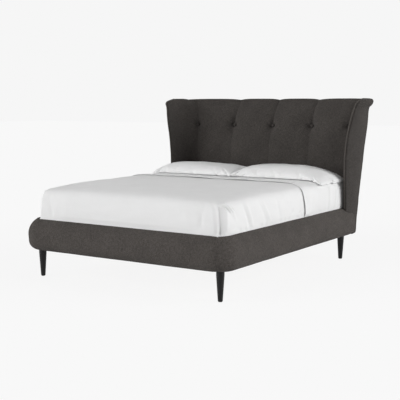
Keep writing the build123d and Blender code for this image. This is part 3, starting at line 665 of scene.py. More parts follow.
def room_wall(out):
    """Distance from the rail corner's centre to the wall of the mattress room, in a direction."""
    cx = ROOM_X - ROOM_CORNER_RADIUS - RAIL_CORNER[0]
    cy = ROOM_FOOT_Y + ROOM_CORNER_RADIUS - RAIL_CORNER[1]
    along = cx * out[0] + cy * out[1]
    off = cx * out[1] - cy * out[0]
    return along + math.sqrt(max(ROOM_CORNER_RADIUS**2 - off**2, 0.0))


def rail_cover(kind, side=1):
    """One padded rail cover, drawn in at its seams and ends."""
    outer = rail_profile()
    stations = rail_stations(kind)
    path = np.array([station[0] for station in stations])
    run = running(np.linalg.norm(np.diff(path, axis=0), axis=1))
    core_top = CORE_LIFT + CORE_HEIGHT
    rows = []
    for (spot, out, wall, core), distance in zip(stations, run):
        seams = [run[-1] - distance] if kind == "side" else [distance, run[-1] - distance]
        pull = sum(SEAM_PULL * (1 - float(ease(0.0, 0.008, seam))) + SEAM_DIP * float(bell(seam, 0.024))
                   for seam in seams)
        if kind == "side" and distance < RAIL_END_ROUNDING:
            share = 1 - distance / RAIL_END_ROUNDING
            pull += RAIL_END_ROUNDING * 0.45 * (1 - math.sqrt(1 - share**2))
        toward = outer - RAIL_MIDDLE
        section = outer - toward / np.linalg.norm(toward, axis=1, keepdims=True) * pull
        section[:, 0] = np.maximum(section[:, 0], wall)
        section[-1, 0], section[0, 0] = wall, wall
        section[-1, 1] = max(section[-1, 1], core_top + 0.002)
        inner = [(wall, core_top), (wall + core, core_top), (wall + core, CORE_LIFT), (wall, CORE_LIFT)]
        ring = np.concatenate([section, np.array(inner)])
        x, y = spot[0] + ring[:, 0] * out[0], spot[1] + ring[:, 0] * out[1]
        rows.append(np.stack([x, y, RAIL_LIFT + ring[:, 1]], axis=1))
    grid = np.array(rows)
    face = grid[:, 3:len(outer) - 3]
    swell = 0.0011 * wobble(face, 0.20, 21) + 0.0005 * wobble(face, 0.07, 22)
    face[..., :2] += swell[..., None] * np.array([station[1] for station in stations])[:, None]
    grid = with_ends(grid)
    grid[..., 0] *= side
    name = "foot_rail_{}" if kind == "foot" else "side_rail_{}_right" if side > 0 else "side_rail_{}_left"
    cover = grid_object(name.format("cloth"), grid, closed=True, sharp=45)
    return finish_piece(cover, [name.format("cover")])


def with_ends(grid):
    """Close a sweep's first and last rings."""
    caps = []
    for ring in (grid[0], grid[-1]):
        middle = ring.mean(axis=0)
        caps.append(np.array([ring + (middle - ring) * t for t in (0.02, 0.4, 0.8, 1.0)]))
    return np.concatenate([caps[0][::-1], grid, caps[1]])


# Bedding

def block_profile(top_z, base_share, count, flat_steps):
    """Rows of the mattress block up to the middle of its top: height, inset and bulge."""
    along = running(np.hypot(np.diff(BLOCK[:, 0]) * BLOCK_HEIGHT, np.diff(BLOCK[:, 1]) * MATTRESS_INSET))
    start = float(np.interp(base_share, BLOCK[:, 0], along))
    s = np.linspace(start, along[-1], count)
    share, inset, bulge = (pchip(along, BLOCK[:, k], s) for k in range(3))
    z = MATTRESS_Z + share * (top_z - MATTRESS_Z)
    inset = inset * MATTRESS_INSET
    flat = np.linspace(MATTRESS_INSET, BLOCK_REACH, flat_steps)[1:]
    fade = 0.2 * (1 - (flat - MATTRESS_INSET) / (BLOCK_REACH - MATTRESS_INSET))
    return (np.concatenate([z, np.full(len(flat), top_z)]), np.concatenate([inset, flat]),
            np.concatenate([bulge, fade]) * MATTRESS_BULGE)


def u_rows(rows, offset, start_y, end, counts):
    """U shaped rows round one end of the block, -1 for the foot and 1 for the head: along the right side from
    start_y, across the end and back along the left side. Returns the grid and each point's distances from the
    middles of the two corners."""
    z, inset, bulge = rows
    out = []
    side_t, corner_t, end_t = (np.linspace(0, 1, n) for n in counts)
    side_t = 1 - (1 - side_t) ** 1.6
    end_t = end_t - 0.6 * np.sin(2 * math.pi * end_t) / (2 * math.pi)
    taper = CORNER_TAPER * (end < 0)
    for level, inward, swell in zip(z, inset, bulge):
        x = max(MATTRESS_X + offset - inward, 0.0)
        y_end = (MATTRESS_FOOT_Y if end < 0 else MATTRESS_HEAD_Y) + end * (offset - inward)
        r = MATTRESS_CORNER + offset + taper * float(ease(0.45, 0.65, level))
        r = min(r * (1 - float(ease(0.14, 0.80, inward))), x)
        side_y = y_end - end * r
        first = start_y + (side_y - start_y) * side_t
        length = MATTRESS_HEAD_Y - MATTRESS_FOOT_Y - 2 * r
        share = np.clip((first - MATTRESS_FOOT_Y - r) / length, 0, 1)
        right = np.stack([x + swell * 4 * share * (1 - share), first], axis=1)
        turn = corner_t * math.pi / 2
        bend = np.stack([x - r + r * np.cos(turn), side_y + end * r * np.sin(turn)], axis=1)
        across = (x - r) * (1 - 2 * end_t)
        bow = swell * (1.0 if end < 0 else 0.25) * (1 - (across / max(x - r, 1e-6)) ** 2)
        front = np.stack([across, y_end + end * bow], axis=1)
        left = np.concatenate([right[:-1], bend[:-1]])
        line = np.concatenate([left, front, (left * [-1, 1])[::-1]])
        out.append(np.concatenate([line, np.full((len(line), 1), level)], axis=1))
    grid = np.array(out)
    if end < 0:
        across, along = np.abs(grid[..., 0]) - MATTRESS_X, grid[..., 1] - MATTRESS_FOOT_Y
        near = bell(np.hypot(across, along), 0.30)
        soft_edge = (inset * (1 - ease(0.05, 0.14, inset)))[:, None]
        move = near * (CORNER_CRISP * soft_edge - CORNER_BATTER * ease(0.45, 0.63, grid[..., 2]))
        grid[..., 0] += np.sign(grid[..., 0]) * move * ease(0.30, 0.04, np.abs(across))
        grid[..., 1] -= move * ease(0.30, 0.04, np.abs(along))
        grid[..., 2] -= CORNER_DROP * near * ease(0.50, 0.655, grid[..., 2])
    run = run_along(grid)
    middle = counts[0] - 1 + counts[1] // 2
    return grid, run - run[:, middle:middle + 1], run - run[:, -1 - middle:grid.shape[1] - middle]


def outward(grid):
    """Unit normals of a bedding grid, away from the mattress."""
    normal = np.cross(np.gradient(grid, axis=1), np.gradient(grid, axis=0))
    size = np.linalg.norm(normal, axis=2, keepdims=True)
    normal = np.where(size > 1e-10, normal / np.maximum(size, 1e-10), [0.0, 0.0, 1.0])
    flip = (normal * (grid - [0, -0.1, 0.5])).sum(axis=2).mean()
    normal = -normal if flip < 0 else normal
    flat = (np.abs(grid[..., 0]) < 0.50)[..., None] * (grid[..., 2:] > 0.652)
    return np.where(flat, [0.0, 0.0, 1.0], normal)


def pinch_lean(z):
    """How far the pinch's line leans sideways at height z."""
    return (z - 0.55) * 0.06


def corner_pinch(near_right, near_left, z):
    """How far the tucked coverlet draws in at the two foot corners."""
    height = ease(TUCK_Z, 0.432, z) * (1 - ease(0.612, 0.645, z))
    low = 1 - ease(0.435, 0.500, z)
    lean = pinch_lean(z)
    depth = np.zeros_like(z)
    for near in (near_right, -near_left):
        depth -= (0.0105 + 0.0060 * low) * bell(near - lean - 0.008, 0.0190)
        depth -= 0.0070 * bell(near - lean, 0.038)
        depth -= 0.0130 * np.clip(1 - near / 0.28, 0, 1) ** 2 * (near > 0)
        depth -= 0.0130 * np.clip(1 + near / 0.30, 0, 1) ** 2 * (near <= 0)
    return depth * height


# Pulls on the coverlet's right side, at (y, z), with a width and a depth
PULLS = [
    ((-1.052, 0.640), (-0.992, 0.566), 0.0050, -0.0070), ((-1.026, 0.640), (-0.962, 0.562), 0.0050, -0.0064),
    ((-1.039, 0.640), (-0.977, 0.566), 0.0060, 0.0036), ((-0.998, 0.632), (-0.945, 0.575), 0.0055, -0.0042),
    ((-1.010, 0.640), (-0.930, 0.520), 0.0120, 0.0030), ((-0.838, 0.605), (-0.768, 0.455), 0.0130, -0.0034),
    ((-0.800, 0.605), (-0.730, 0.455), 0.0150, 0.0030), ((-0.640, 0.600), (-0.540, 0.450), 0.0140, -0.0026),
    ((-0.600, 0.610), (-0.490, 0.450), 0.0160, 0.0024), ((-0.400, 0.600), (-0.350, 0.450), 0.0170, -0.0018),
    ((-0.125, 0.436), (-0.050, 0.474), 0.0060, -0.0040), ((-0.230, 0.440), (-0.160, 0.500), 0.0100, -0.0022),
]
# Folds across the coverlet's foot: x, slope, width and depth
FOOT_FOLDS = [(0.62, 0.25, 0.020, -0.0024), (0.52, 0.18, 0.026, 0.0020), (-0.60, -0.22, 0.022, -0.0026),
              (-0.48, -0.12, 0.026, 0.0018), (0.15, 0.05, 0.050, 0.0012)]
# Folds of the turned down sheet's sides: y, width and depth
SIDE_FOLDS = [(0.440, 0.018, -0.0036), (0.475, 0.022, 0.0030), (0.555, 0.020, -0.0030),
              (0.590, 0.020, 0.0024), (0.640, 0.016, -0.0036), (0.250, 0.030, -0.0012),
              (0.130, 0.022, 0.0012)]


def tuck_line(x, z):
    """Where a sheet goes down between mattress and side rail."""
    return bell(z - 0.436, 0.016) * ease(0.70, 0.79, np.abs(x))


def coverlet_folds(grid, near_right, near_left):
    """Soft folds of the coverlet: gathered foot corners, slanting pulls on the sides and a quiet top."""
    x, y, z = grid[..., 0], grid[..., 1], grid[..., 2]
    on_side = ease(0.420, 0.475, z) * (1 - ease(0.615, 0.652, z))
    depth = corner_pinch(near_right, near_left, z)
    depth += 0.0016 * wobble(grid, 0.42, 31) * ease(0.42, 0.5, z)
    depth += 0.0006 * wobble(grid, 0.13, 32) * ease(0.43, 0.5, z)
    lean = pinch_lean(z)
    for near in (near_right, -near_left):
        depth += 0.0030 * (bell(near - 0.050 - lean, 0.020) + bell(near + 0.048 - lean, 0.018)) * on_side
        depth -= 0.0030 * bell(near - 0.115 + 0.30 * (z - 0.6), 0.018) * on_side
    beside = ease(0.74, 0.79, np.abs(x))
    # The left side's pulls are shorter, wider and softer than the right side's
    for start, end, width, amount in PULLS:
        depth += 1.4 * amount * crease(y, z, start, end, width) * (x > 0) * beside
        start, end = (start[0] + 0.03, start[1]), (end[0] - 0.02, end[1])
        depth += amount * crease(y, z, start, end, width * 1.2) * (x < 0) * beside
    foot = (y < -1.03) * on_side
    for spot, slope, width, amount in FOOT_FOLDS:
        depth += amount * bell(x - spot - slope * (0.60 - z), width) * foot
    ripple = np.sin(y * 71 + 1.7 * np.sin(y * 23))
    depth += (0.0016 + 0.0022 * bell(y + 1.0, 0.30)) * ripple * tuck_line(x, z)
    top = ease(0.655, 0.661, z)
    depth -= 0.0022 * crease(x, y, (0.22, -0.150), (0.62, 0.075), 0.009) * top
    depth += 0.0018 * crease(x, y, (0.24, -0.180), (0.64, 0.045), 0.014) * top
    return depth


def sheet_solid(name, grid, normal, thickness):
    """A closed sheet: the grid as its outer face and the same grid moved in as its inner face."""
    inner = grid - normal * thickness
    first, last = (grid[:, :1] + inner[:, :1]) / 2, (grid[:, -1:] + inner[:, -1:]) / 2
    columns = np.concatenate([grid, last, inner[:, ::-1], first], axis=1)
    opposite = np.concatenate([inner, inner[:, -1:], grid[:, ::-1], inner[:, :1]], axis=1)
    foot = (columns[:1] + opposite[:1]) / 2
    return grid_object(name, np.concatenate([foot, columns]), closed=True, sharp=60)


def keep_in_room(grid, top):
    """Keep a sheet's tuck, all below a height, between the side rails."""
    limit = ROOM_X - GAP
    held = np.clip(grid[..., 0], -limit, limit)
    grid[..., 0] = np.where(grid[..., 2] < top, held, grid[..., 0])
    return grid


def coverlet():
    """Coverlet from its tuck at the foot to just under the turned down sheet."""
    offset = 0.0078
    rows = block_profile(MATTRESS_TOP + offset, TUCK_SHARE, count=90, flat_steps=34)
    grid, near_right, near_left = u_rows(rows, offset, HEM_Y + HEM_OVERLAP, end=-1, counts=(180, 64, 190))
    normal = outward(grid)
    grid = grid + normal * coverlet_folds(grid, near_right, near_left)[..., None]
    piece = sheet_solid("coverlet_cloth", keep_in_room(grid, top=0.416), normal, thickness=0.0030)
    finish_piece(piece, ["coverlet"])


def turned_sheet():
    """Upper sheet turned down over the coverlet: its doubled hem faces the foot and stands a little off."""
    offset = 0.004
    rows = block_profile(MATTRESS_TOP + offset, TUCK_SHARE, count=60, flat_steps=34)
    grid, _, _ = u_rows(rows, offset, HEM_Y, end=1, counts=(150, 20, 110))
    normal = outward(grid)
    x, y, z = grid[..., 0], grid[..., 1], grid[..., 2]
    past = y - HEM_Y
    above = ease(TUCK_Z, 0.445, z)
    lift = 0.0105 * (1 - ease(0.045, 0.16, past)) * (0.12 + 0.88 * above)
    roll = (0.0030 * bell(past - 0.009, 0.010) - 0.0016 * bell(past - 0.024, 0.0035)) * above
    depth = lift + roll
    depth += 0.0012 * wobble(grid, 0.30, 41) * above + 0.0006 * wobble(grid, 0.10, 42) * above
    on_side = ease(0.73, 0.79, np.abs(x)) * (1 - ease(0.600, 0.655, z)) * above
    for spot, width, amount in SIDE_FOLDS:
        depth += amount * bell(y - spot - 0.12 * (z - 0.55), width) * on_side
    depth += 0.0014 * np.sin(y * 63 + 1.4 * np.sin(y * 19)) * tuck_line(x, z)
    grid = grid + normal * depth[..., None]
    droop = (0.028 + 0.027 * ease(0.43, 0.60, z)) * bell(np.maximum(past, 0), 0.12)
    grid[..., 1] -= droop * ease(0.60, 0.77, np.abs(x))
    piece = sheet_solid("turned_down_sheet", keep_in_room(grid, top=0.4105), normal, thickness=0.0026)
    finish_piece(piece)


def mattress():
    """Mattress with a knitted ticking, and its fitted sheet drawn over it and tucked under."""
    for name, offset, slot, node, fill in (("mattress_ticking", 0.0, "ticking", "mattress", 1.0),
                                           ("fitted_sheet_cloth", 0.0022, "bed_sheet", "fitted_sheet", None)):
        rows = block_profile(MATTRESS_TOP + offset, 0.0, count=48, flat_steps=12)
        foot, near_right, near_left = u_rows(rows, offset, BEDDING_SPLIT, end=-1, counts=(80, 40, 90))
        level = foot[..., 2]
        sink = HIDDEN_SINK * ease(TUCK_Z, 0.440, level) * (1 - ease(0.610, 0.650, level))
        sink = sink * (1 - ease(-0.25, -0.10, foot[..., 1]))
        foot = foot + outward(foot) * (corner_pinch(near_right, near_left, level) - sink)[..., None]
        head, _, _ = u_rows(rows, offset, BEDDING_SPLIT, end=1, counts=(60, 14, 80))
        ring = np.concatenate([foot[:, :-1], head[:, ::-1][:, :-1]], axis=1)
        if node == "mattress":
            under = [ring[0] * [1 - 0.93 * t, 1 - 0.85 * t, 1] for t in (1.0, 0.7, 0.4, 0.15, 0.03)]
        else:
            under = [ring[0] * [1 - t / 0.80, 1 - t, 1] - [0, 0, 0.0016] for t in (0.085, 0.05, 0.02)]
        piece = grid_object(name, np.concatenate([np.array(under), ring]), closed=True)
        finish_piece(piece, [node])


def pillow_grid(length, depth, nx, ny):
    """Two flat faces of a pillow case, joined at their edges: points, quads and UVs."""
    us = np.linspace(-1, 1, nx)
    vs = np.linspace(-1, 1, ny)
    u, v = np.meshgrid(us, vs, indexing="ij")
    pinch_x = 1 - 0.030 * (1 - v**2)
    pinch_y = 1 - 0.035 * (1 - u**2)
    x, y = u * length / 2 * pinch_x, v * depth / 2 * pinch_y
    rim = (1 - u**2) * (1 - v**2)
    top = np.stack([x, y, 0.012 * np.sqrt(np.maximum(rim, 0))], axis=-1)
    bottom = top * [1, 1, -1]
    points = np.concatenate([top.reshape(-1, 3), bottom.reshape(-1, 3)])
    index = np.arange(nx * ny).reshape(nx, ny)
    a, b, c, d = index[:-1, :-1], index[1:, :-1], index[1:, 1:], index[:-1, 1:]
    up = np.stack([a, b, c, d], axis=-1).reshape(-1, 4)
    down = np.stack([a, d, c, b], axis=-1).reshape(-1, 4) + nx * ny
    quads = np.concatenate([up, down])
    flat = np.stack([x, y], axis=-1).reshape(-1, 2)
    uvs = np.concatenate([flat, flat + [0, 0.7]])[quads]
    return points, quads, uvs


def inflate(obj, frames, pressure):
    """Cloth simulation of a closed case under pressure, without gravity. Its result replaces the mesh."""
    modifier = obj.modifiers.new("cloth", "CLOTH")
    cloth = modifier.settings
    cloth.quality = 6
    cloth.mass = 0.25
    cloth.air_damping = 2.0
    cloth.tension_stiffness = cloth.compression_stiffness = 18
    cloth.shear_stiffness = 6
    cloth.bending_stiffness = 0.06
    cloth.use_pressure = True
    cloth.uniform_pressure_force = pressure
    cloth.effector_weights.gravity = 0.0
    modifier.collision_settings.use_collision = False
    modifier.collision_settings.use_self_collision = False
    modifier.point_cache.frame_start, modifier.point_cache.frame_end = 1, frames
    scene = bpy.context.scene
    for number in range(1, frames + 1):
        scene.frame_set(number)
    apply_modifiers(obj)
    scene.frame_set(1)


# Height of each pillow's crest, for the right and the left one, at distances from the bed's middle
PILLOW_CREST = {
    1: [(-0.04, 0.690), (0.00, 0.713), (0.05, 0.735), (0.116, 0.750), (0.181, 0.759), (0.39, 0.763),
        (0.507, 0.758), (0.58, 0.750), (0.63, 0.740), (0.67, 0.728), (0.72, 0.709), (0.76, 0.688),
        (0.785, 0.668), (0.81, 0.640)],
    -1: [(-0.04, 0.690), (0.00, 0.713), (0.05, 0.727), (0.142, 0.737), (0.29, 0.746), (0.44, 0.751),
         (0.60, 0.748), (0.70, 0.738), (0.75, 0.722), (0.78, 0.698), (0.81, 0.650)],
}
# How far the made bed droops, at distances from its middle
BED_DROOP = np.array([(-1.0, 0.0), (0.64, 0.0), (0.70, 0.004), (0.74, 0.013), (0.77, 0.026), (0.80, 0.044),
                      (0.83, 0.060)])
PILLOW_CASE, CASE_POINTS = (0.86, 0.535), (121, 77)


def bed_height(x):
    """Height of the made bed under a pillow, which droops near the mattress' side."""
    return SHEET_TOP - pchip(*BED_DROOP.T, np.abs(x))


def pillow(side):
    """One filled pillow: its case is blown up, laid down and pressed against its neighbour, with its seam a
    little above the sheet."""
    word = "right" if side > 0 else "left"
    points, quads, uvs = pillow_grid(*PILLOW_CASE, *CASE_POINTS)
    obj = new_object(f"pillow_{word}_cloth", points, quads, uvs, sharp=180)
    inflate(obj, frames=26, pressure=4.5)
    co = np.array([vertex.co for vertex in obj.data.vertices])
    # Made -1 to 1 each way, with its drawn in ends and sides straightened
    low, high = co.min(axis=0), co.max(axis=0)
    co = 2 * (co - low) / (high - low) - 1
    for along, across, share in ((0, 1, 0.85), (1, 0, 0.40)):
        marks = np.linspace(-0.96, 0.96, 40)
        rim = np.array([np.abs(co[np.abs(co[:, across] - mark) < 0.06, along]).max() for mark in marks])
        co[:, along] /= 1 - share * (1 - np.interp(co[:, across], marks, rim))
    co[:, :2] = np.clip(co[:, :2], -1.02, 1.02)
    x = PILLOW_INNER + (co[:, 0] * side + 1) / 2 * (PILLOW_OUTER - PILLOW_INNER)
    y = PILLOW_Y + co[:, 1] * PILLOW_DEPTH / 2
    # Upper side from seam to crest, and lower side from seam to bed
    marks = np.linspace(-1, 1, 60)
    ridge = np.array([co[np.abs(co[:, 0] * side - mark) < 0.04, 2].max() for mark in marks])
    natural = np.interp(co[:, 0] * side, marks, ridge)
    bed = bed_height(x)
    plan = np.stack([x, y, 0 * x], axis=1)
    seam = bed + SEAM_LIFT + 0.0025 * wobble(plan, 0.30, 57 + side)
    crest = pchip(*np.array(PILLOW_CREST[side]).T, x)
    up = np.maximum(co[:, 2], 0) / np.maximum(natural, 0.30)
    down = np.clip(-co[:, 2] / 0.30, 0, 1)
    sag = 0.05 * bell(x - 0.36, 0.20) * bell(y - PILLOW_Y - 0.02, 0.10)
    z = seam + up * (1 - sag) * (crest - seam) - (1 - (1 - down) ** 2) * (seam - bed - PILLOW_REST)
    z += 0.0012 * wobble(plan, 0.16, 51 + side) * np.clip(up * 2, 0, 1)
    # Pressed flat against its neighbour over the bed's middle
    x = PILLOW_GAP + PILLOW_PRESS * np.logaddexp(0, (x - PILLOW_GAP) / PILLOW_PRESS)
    shape = np.stack([side * x, y, z], axis=1)
    obj.data.vertices.foreach_set("co", shape.astype(np.float32).ravel())
    obj.data.update()
    modifier = obj.modifiers.new("soft", "SUBSURF")
    modifier.levels = modifier.render_levels = 1
    apply_modifiers(obj)
    return finish_piece(obj, [f"pillow_{word}"])


# Materials

class Nodes:
    """A short way to write a node tree."""

    def __init__(self, owner):
        """Start the node tree of a material or world afresh."""
        self.owner = owner
        owner.use_nodes = True
        self.tree = owner.node_tree
        self.tree.nodes.clear()

    def add(self, kind, inputs=(), **settings):
        """A node with its settings. Inputs, by name or number, are linked or set."""
        node = self.tree.nodes.new("ShaderNode" + kind)
        for name, value in settings.items():
            setattr(node, name, value)
        for key, value in dict(inputs).items():
            self.put(node.inputs[key], value)
        return node

    def put(self, socket, value):
        """Link an output to an input, or set the input's value."""
        if isinstance(value, bpy.types.NodeSocket):
            self.tree.links.new(value, socket)
        elif value is not None:
            socket.default_value = (*value, 1.0) if socket.type == "RGBA" else value

    def coords(self, kind="UV", scale=(1, 1, 1)):
        """Scaled texture coordinates."""
        source = self.add("TexCoord")
        return self.add("Mapping", {"Scale": scale, "Vector": source.outputs[kind]}).outputs[0]

    def noise(self, vector, scale, detail=3.0, roughness=0.5, distortion=0.0):
        """Soft noise between 0 and 1."""
        inputs = {"Vector": vector, "Scale": scale, "Detail": detail, "Roughness": roughness,
                  "Distortion": distortion}
        return self.add("TexNoise", inputs).outputs["Fac"]

    def cells(self, vector):
        """Random colour of each cell."""
        return self.add("TexVoronoi", {"Vector": vector, "Scale": 1.0}).outputs["Color"]

    def math(self, operation, *values):
        """A sum, product or function of one or two values."""
        return self.add("Math", enumerate(values), operation=operation).outputs[0]

    def split(self, vector):
        """The three parts of a vector or colour."""
        return self.add("SeparateXYZ", {0: vector}).outputs

    def ramp(self, value, stops):
        """Colours between stops."""
        node = self.add("ValToRGB", {0: value})
        elements = node.color_ramp.elements
        while len(elements) < len(stops):
            elements.new(0.5)
        for element, (spot, colour) in zip(elements, stops):
            element.position = spot
            element.color = (*colour, 1.0)
        return node.outputs[0]

    def range(self, value, *limits):
        """A value mapped from the first two limits to the others, or to 0 and 1."""
        return self.add("MapRange", enumerate((value, *limits))).outputs[0]

    def mix(self, share, a, b, kind="MIX"):
        """Two colours mixed."""
        node = self.add("Mix", data_type="RGBA", blend_type=kind)
        self.put(node.inputs["Factor"], share)
        for socket, value in zip([s for s in node.inputs if s.type == "RGBA"], (a, b)):
            self.put(socket, value)
        return [s for s in node.outputs if s.type == "RGBA"][0]

    def bump(self, height, strength, distance, below=None):
        """A normal from a height, over another normal."""
        inputs = {"Strength": strength, "Distance": distance, "Height": height, "Normal": below}
        return self.add("Bump", inputs).outputs[0]

    def surface(self, **values):
        """End the tree in a Principled shader with its inputs, an underscore for each space."""
        shader = self.add("BsdfPrincipled", {key.replace("_", " "): value for key, value in values.items()})
        self.add("OutputMaterial", {0: shader.outputs[0]})
        return self.owner

    def blend(self, share, first, second, kind):
        """End the tree in a mix of two shaders."""
        mixed = self.add("MixShader", {0: share, 1: first.outputs[0], 2: second.outputs[0]})
        self.add(kind, {0: mixed.outputs[0]})

    def seen_share(self):
        """1 for rays of the camera, mirrors and glass, and 0 for those that light."""
        rays = self.add("LightPath").outputs
        passed = self.math("MAXIMUM", rays["Is Glossy Ray"], rays["Is Transmission Ray"])
        return self.math("MAXIMUM", rays["Is Camera Ray"], passed)


def weave(n, vector, pitch):
    """Height of a plain weave of round yarns and a mask of which yarn lies on top."""
    parts = n.split(vector)
    a, b = (n.math("SINE", n.math("MULTIPLY", parts[k], math.pi / pitch)) for k in (0, 1))
    over = n.range(n.math("MULTIPLY", a, b), -0.12, 0.12)
    warp, weft = (n.math("SQRT", n.math("ABSOLUTE", wave)) for wave in (a, b))
    under = n.math("MULTIPLY", weft, n.math("SUBTRACT", 1.0, over))
    return n.math("ADD", n.math("MULTIPLY", warp, over), under), over


def tweed(name, dark, mid, light, fleck, pitch=0.0022):
    """Charcoal woven upholstery with mixed yarns, sparse light flecks and painted shade in the hollows
    between the yarns.
    """
    n = Nodes(bpy.data.materials.new(name))
    spot = n.coords()
    height, over = weave(n, spot, pitch)
    slub_u, slub_v = (n.noise(n.coords("UV", scale), 1.0, 2.0) for scale in ((430, 42, 1), (42, 430, 1)))
    yarn = n.mix(over, slub_v, slub_u)
    base = n.ramp(yarn, [(0.30, dark), (0.50, mid), (0.68, light)])
    patch = n.noise(spot, 60.0, 4.0, 0.65)
    base = n.mix(n.range(patch, 0.38, 0.66, 0.0, 0.60), base, light)
    warp, weft = (n.cells(n.coords("UV", (u / pitch, v / pitch, 1))) for u, v in ((1, 0.30), (0.30, 1)))
    picks = n.split(n.mix(over, weft, warp))
    base = n.mix(n.math("MULTIPLY", n.range(picks[0], 0.80, 0.93), 0.32), base, fleck)
    base = n.mix(n.math("MULTIPLY", n.range(picks[1], 0.72, 0.90), 0.45), base, tuple(0.5 * c for c in dark))
    shade = n.range(n.noise(n.coords(), 6.0, 2.0), 0.3, 0.7, 0.90, 1.08)
    # Painted shade: darker where the weave lies low, between the yarns.
    weave_hollow_shade = n.range(height, 0.0, 0.7, 0.55, 1.0)
    base = n.mix(1.0, base, n.math("MULTIPLY", shade, weave_hollow_shade), "MULTIPLY")
    rough = n.range(patch, 0.3, 0.7, 0.82, 0.95)
    fuzz = n.noise(spot, 900.0, 2.0)
    normal = n.bump(fuzz, 0.25, 0.0006, n.bump(height, 0.55, 0.0009))
    return n.surface(Base_Color=base, Roughness=rough, Normal=normal, Sheen_Weight=0.03,
                     Sheen_Roughness=0.55, Specular_IOR_Level=0.12)


def cotton(name, colour, pitch=0.0006, crumple=1.0):
    """White bed linen: fine weave, slight unevenness, small creases and a little painted shade in their
    hollows.
    """
    n = Nodes(bpy.data.materials.new(name))
    spot = n.coords("Object")
    fine = n.noise(spot, 1.0 / pitch, 2.0, 0.6)
    height, _ = weave(n, n.coords(), pitch)
    soft = n.noise(n.coords("Object", (1.0, 1.0, 1.6)), 7.0, 4.0, 0.55, 0.6)
    small = n.noise(spot, 34.0, 3.0, 0.5, 0.4)
    # Painted shade: a little darker where the crumple bump below lies low.
    base = n.mix(1.0, colour, n.range(soft, 0.3, 0.7, 0.975, 1.0), "MULTIPLY")
    first = n.bump(soft, 0.20 * crumple, 0.010)
    second = n.bump(small, 0.14 * crumple, 0.0022, first)
    third = n.bump(n.math("ADD", height, fine), 0.22, 0.00022, second)
    rough = n.range(small, 0.3, 0.7, 0.80, 0.90)
    return n.surface(Base_Color=base, Roughness=rough, Normal=third, Sheen_Weight=0.08,
                     Sheen_Roughness=0.5, Specular_IOR_Level=0.25)


def timber(name, light, dark, along, ring=26.0, gloss=0.55):
    """Planed wood with grain along one axis."""
    n = Nodes(bpy.data.materials.new(name))
    scale = [0.06 if axis == along else 1.0 for axis in range(3)]
    rings = n.noise(n.coords("Object", scale), ring, 4.0, 0.6, 1.2)
    fibres = n.noise(n.coords("Object", [s * 8 if s == 1.0 else s * 2 for s in scale]), 40.0, 3.0, 0.6)
    pores = n.range(fibres, 0.62, 0.72)
    bands = n.math("FRACT", n.math("MULTIPLY", rings, 7.0))
    share = n.math("MULTIPLY", n.range(bands, 0.0, 1.0), 0.55)
    base = n.mix(n.math("ADD", share, n.math("MULTIPLY", pores, 0.2)), light, dark)
    normal = n.bump(n.math("SUBTRACT", bands, pores), 0.12, 0.0006)
    rough = n.range(fibres, 0.3, 0.7, gloss - 0.08, gloss + 0.10)
    return n.surface(Base_Color=base, Roughness=rough, Normal=normal)


def lacquer(name):
    """Satin black lacquer over turned wood, rubbed a little at random."""
    n = Nodes(bpy.data.materials.new(name))
    grain = n.noise(n.coords("Object", (1.0, 1.0, 0.12)), 160.0, 3.0, 0.6)
    wear = n.noise(n.coords("Object"), 26.0, 4.0, 0.6)
    foot = n.range(n.split(n.coords("Object"))[2], 0.0, 0.045, 1.0, 0.0)
    rub = n.math("MULTIPLY", n.range(wear, 0.52, 0.72), n.math("ADD", 0.10, n.math("MULTIPLY", foot, 0.6)))
    base = n.mix(rub, (0.0080, 0.0080, 0.0084), (0.036, 0.032, 0.028))
    rough = n.range(wear, 0.3, 0.7, 0.34, 0.44)
    normal = n.bump(grain, 0.10, 0.0004)
    return n.surface(Base_Color=base, Roughness=rough, Normal=normal, Specular_IOR_Level=0.22)


def plain(name, colour, rough, metallic=0.0):
    """Powder coat or moulded plastic with a fine texture and slight unevenness."""
    n = Nodes(bpy.data.materials.new(name))
    spot = n.coords("Object")
    fine = n.noise(spot, 420.0, 3.0, 0.6)
    broad = n.noise(spot, 18.0, 3.0, 0.5)
    base = n.mix(n.range(broad, 0.3, 0.7, 0.0, 0.5), colour, tuple(1.7 * c for c in colour))
    rough = n.range(broad, 0.3, 0.7, rough - 0.06, rough + 0.08)
    return n.surface(Base_Color=base, Roughness=rough, Metallic=metallic, Normal=n.bump(fine, 0.20, 0.0003))


YARN = {"dark": (0.62, 0.555, 0.505), "mid": (1.04, 0.935, 0.865), "light": (1.50, 1.345, 1.245),
        "fleck": (3.2, 2.80, 2.45)}
# Painted shade: the headboard's cloth is the rails' cloth made darker, for the lesser light the headboard
# gets; the rails' tone is the cloth's own.
RAIL_TONE, HEADBOARD_SHADED_TONE, PIPING_TONE, BUTTON_TONE = 0.066, 0.045, 0.070, 0.050
LINEN, TICKING = (0.82, 0.82, 0.82), (0.72, 0.71, 0.68)
PINE = ((0.56, 0.40, 0.24), (0.36, 0.23, 0.12))
PLYWOOD = ((0.50, 0.36, 0.22), (0.34, 0.22, 0.12))
BEECH = ((0.62, 0.44, 0.27), (0.48, 0.31, 0.17))


def yarns(tone):
    """Yarn colours of the charcoal cloth, at a given darkness."""
    return {name: tuple(tone * c for c in colour) for name, colour in YARN.items()}


def paint(obj, looks):
    """Give an object the first look whose start of a name fits its own."""
    obj.data.materials.clear()
    obj.data.materials.append(next(look for start, look in looks if obj.name.startswith(start)))


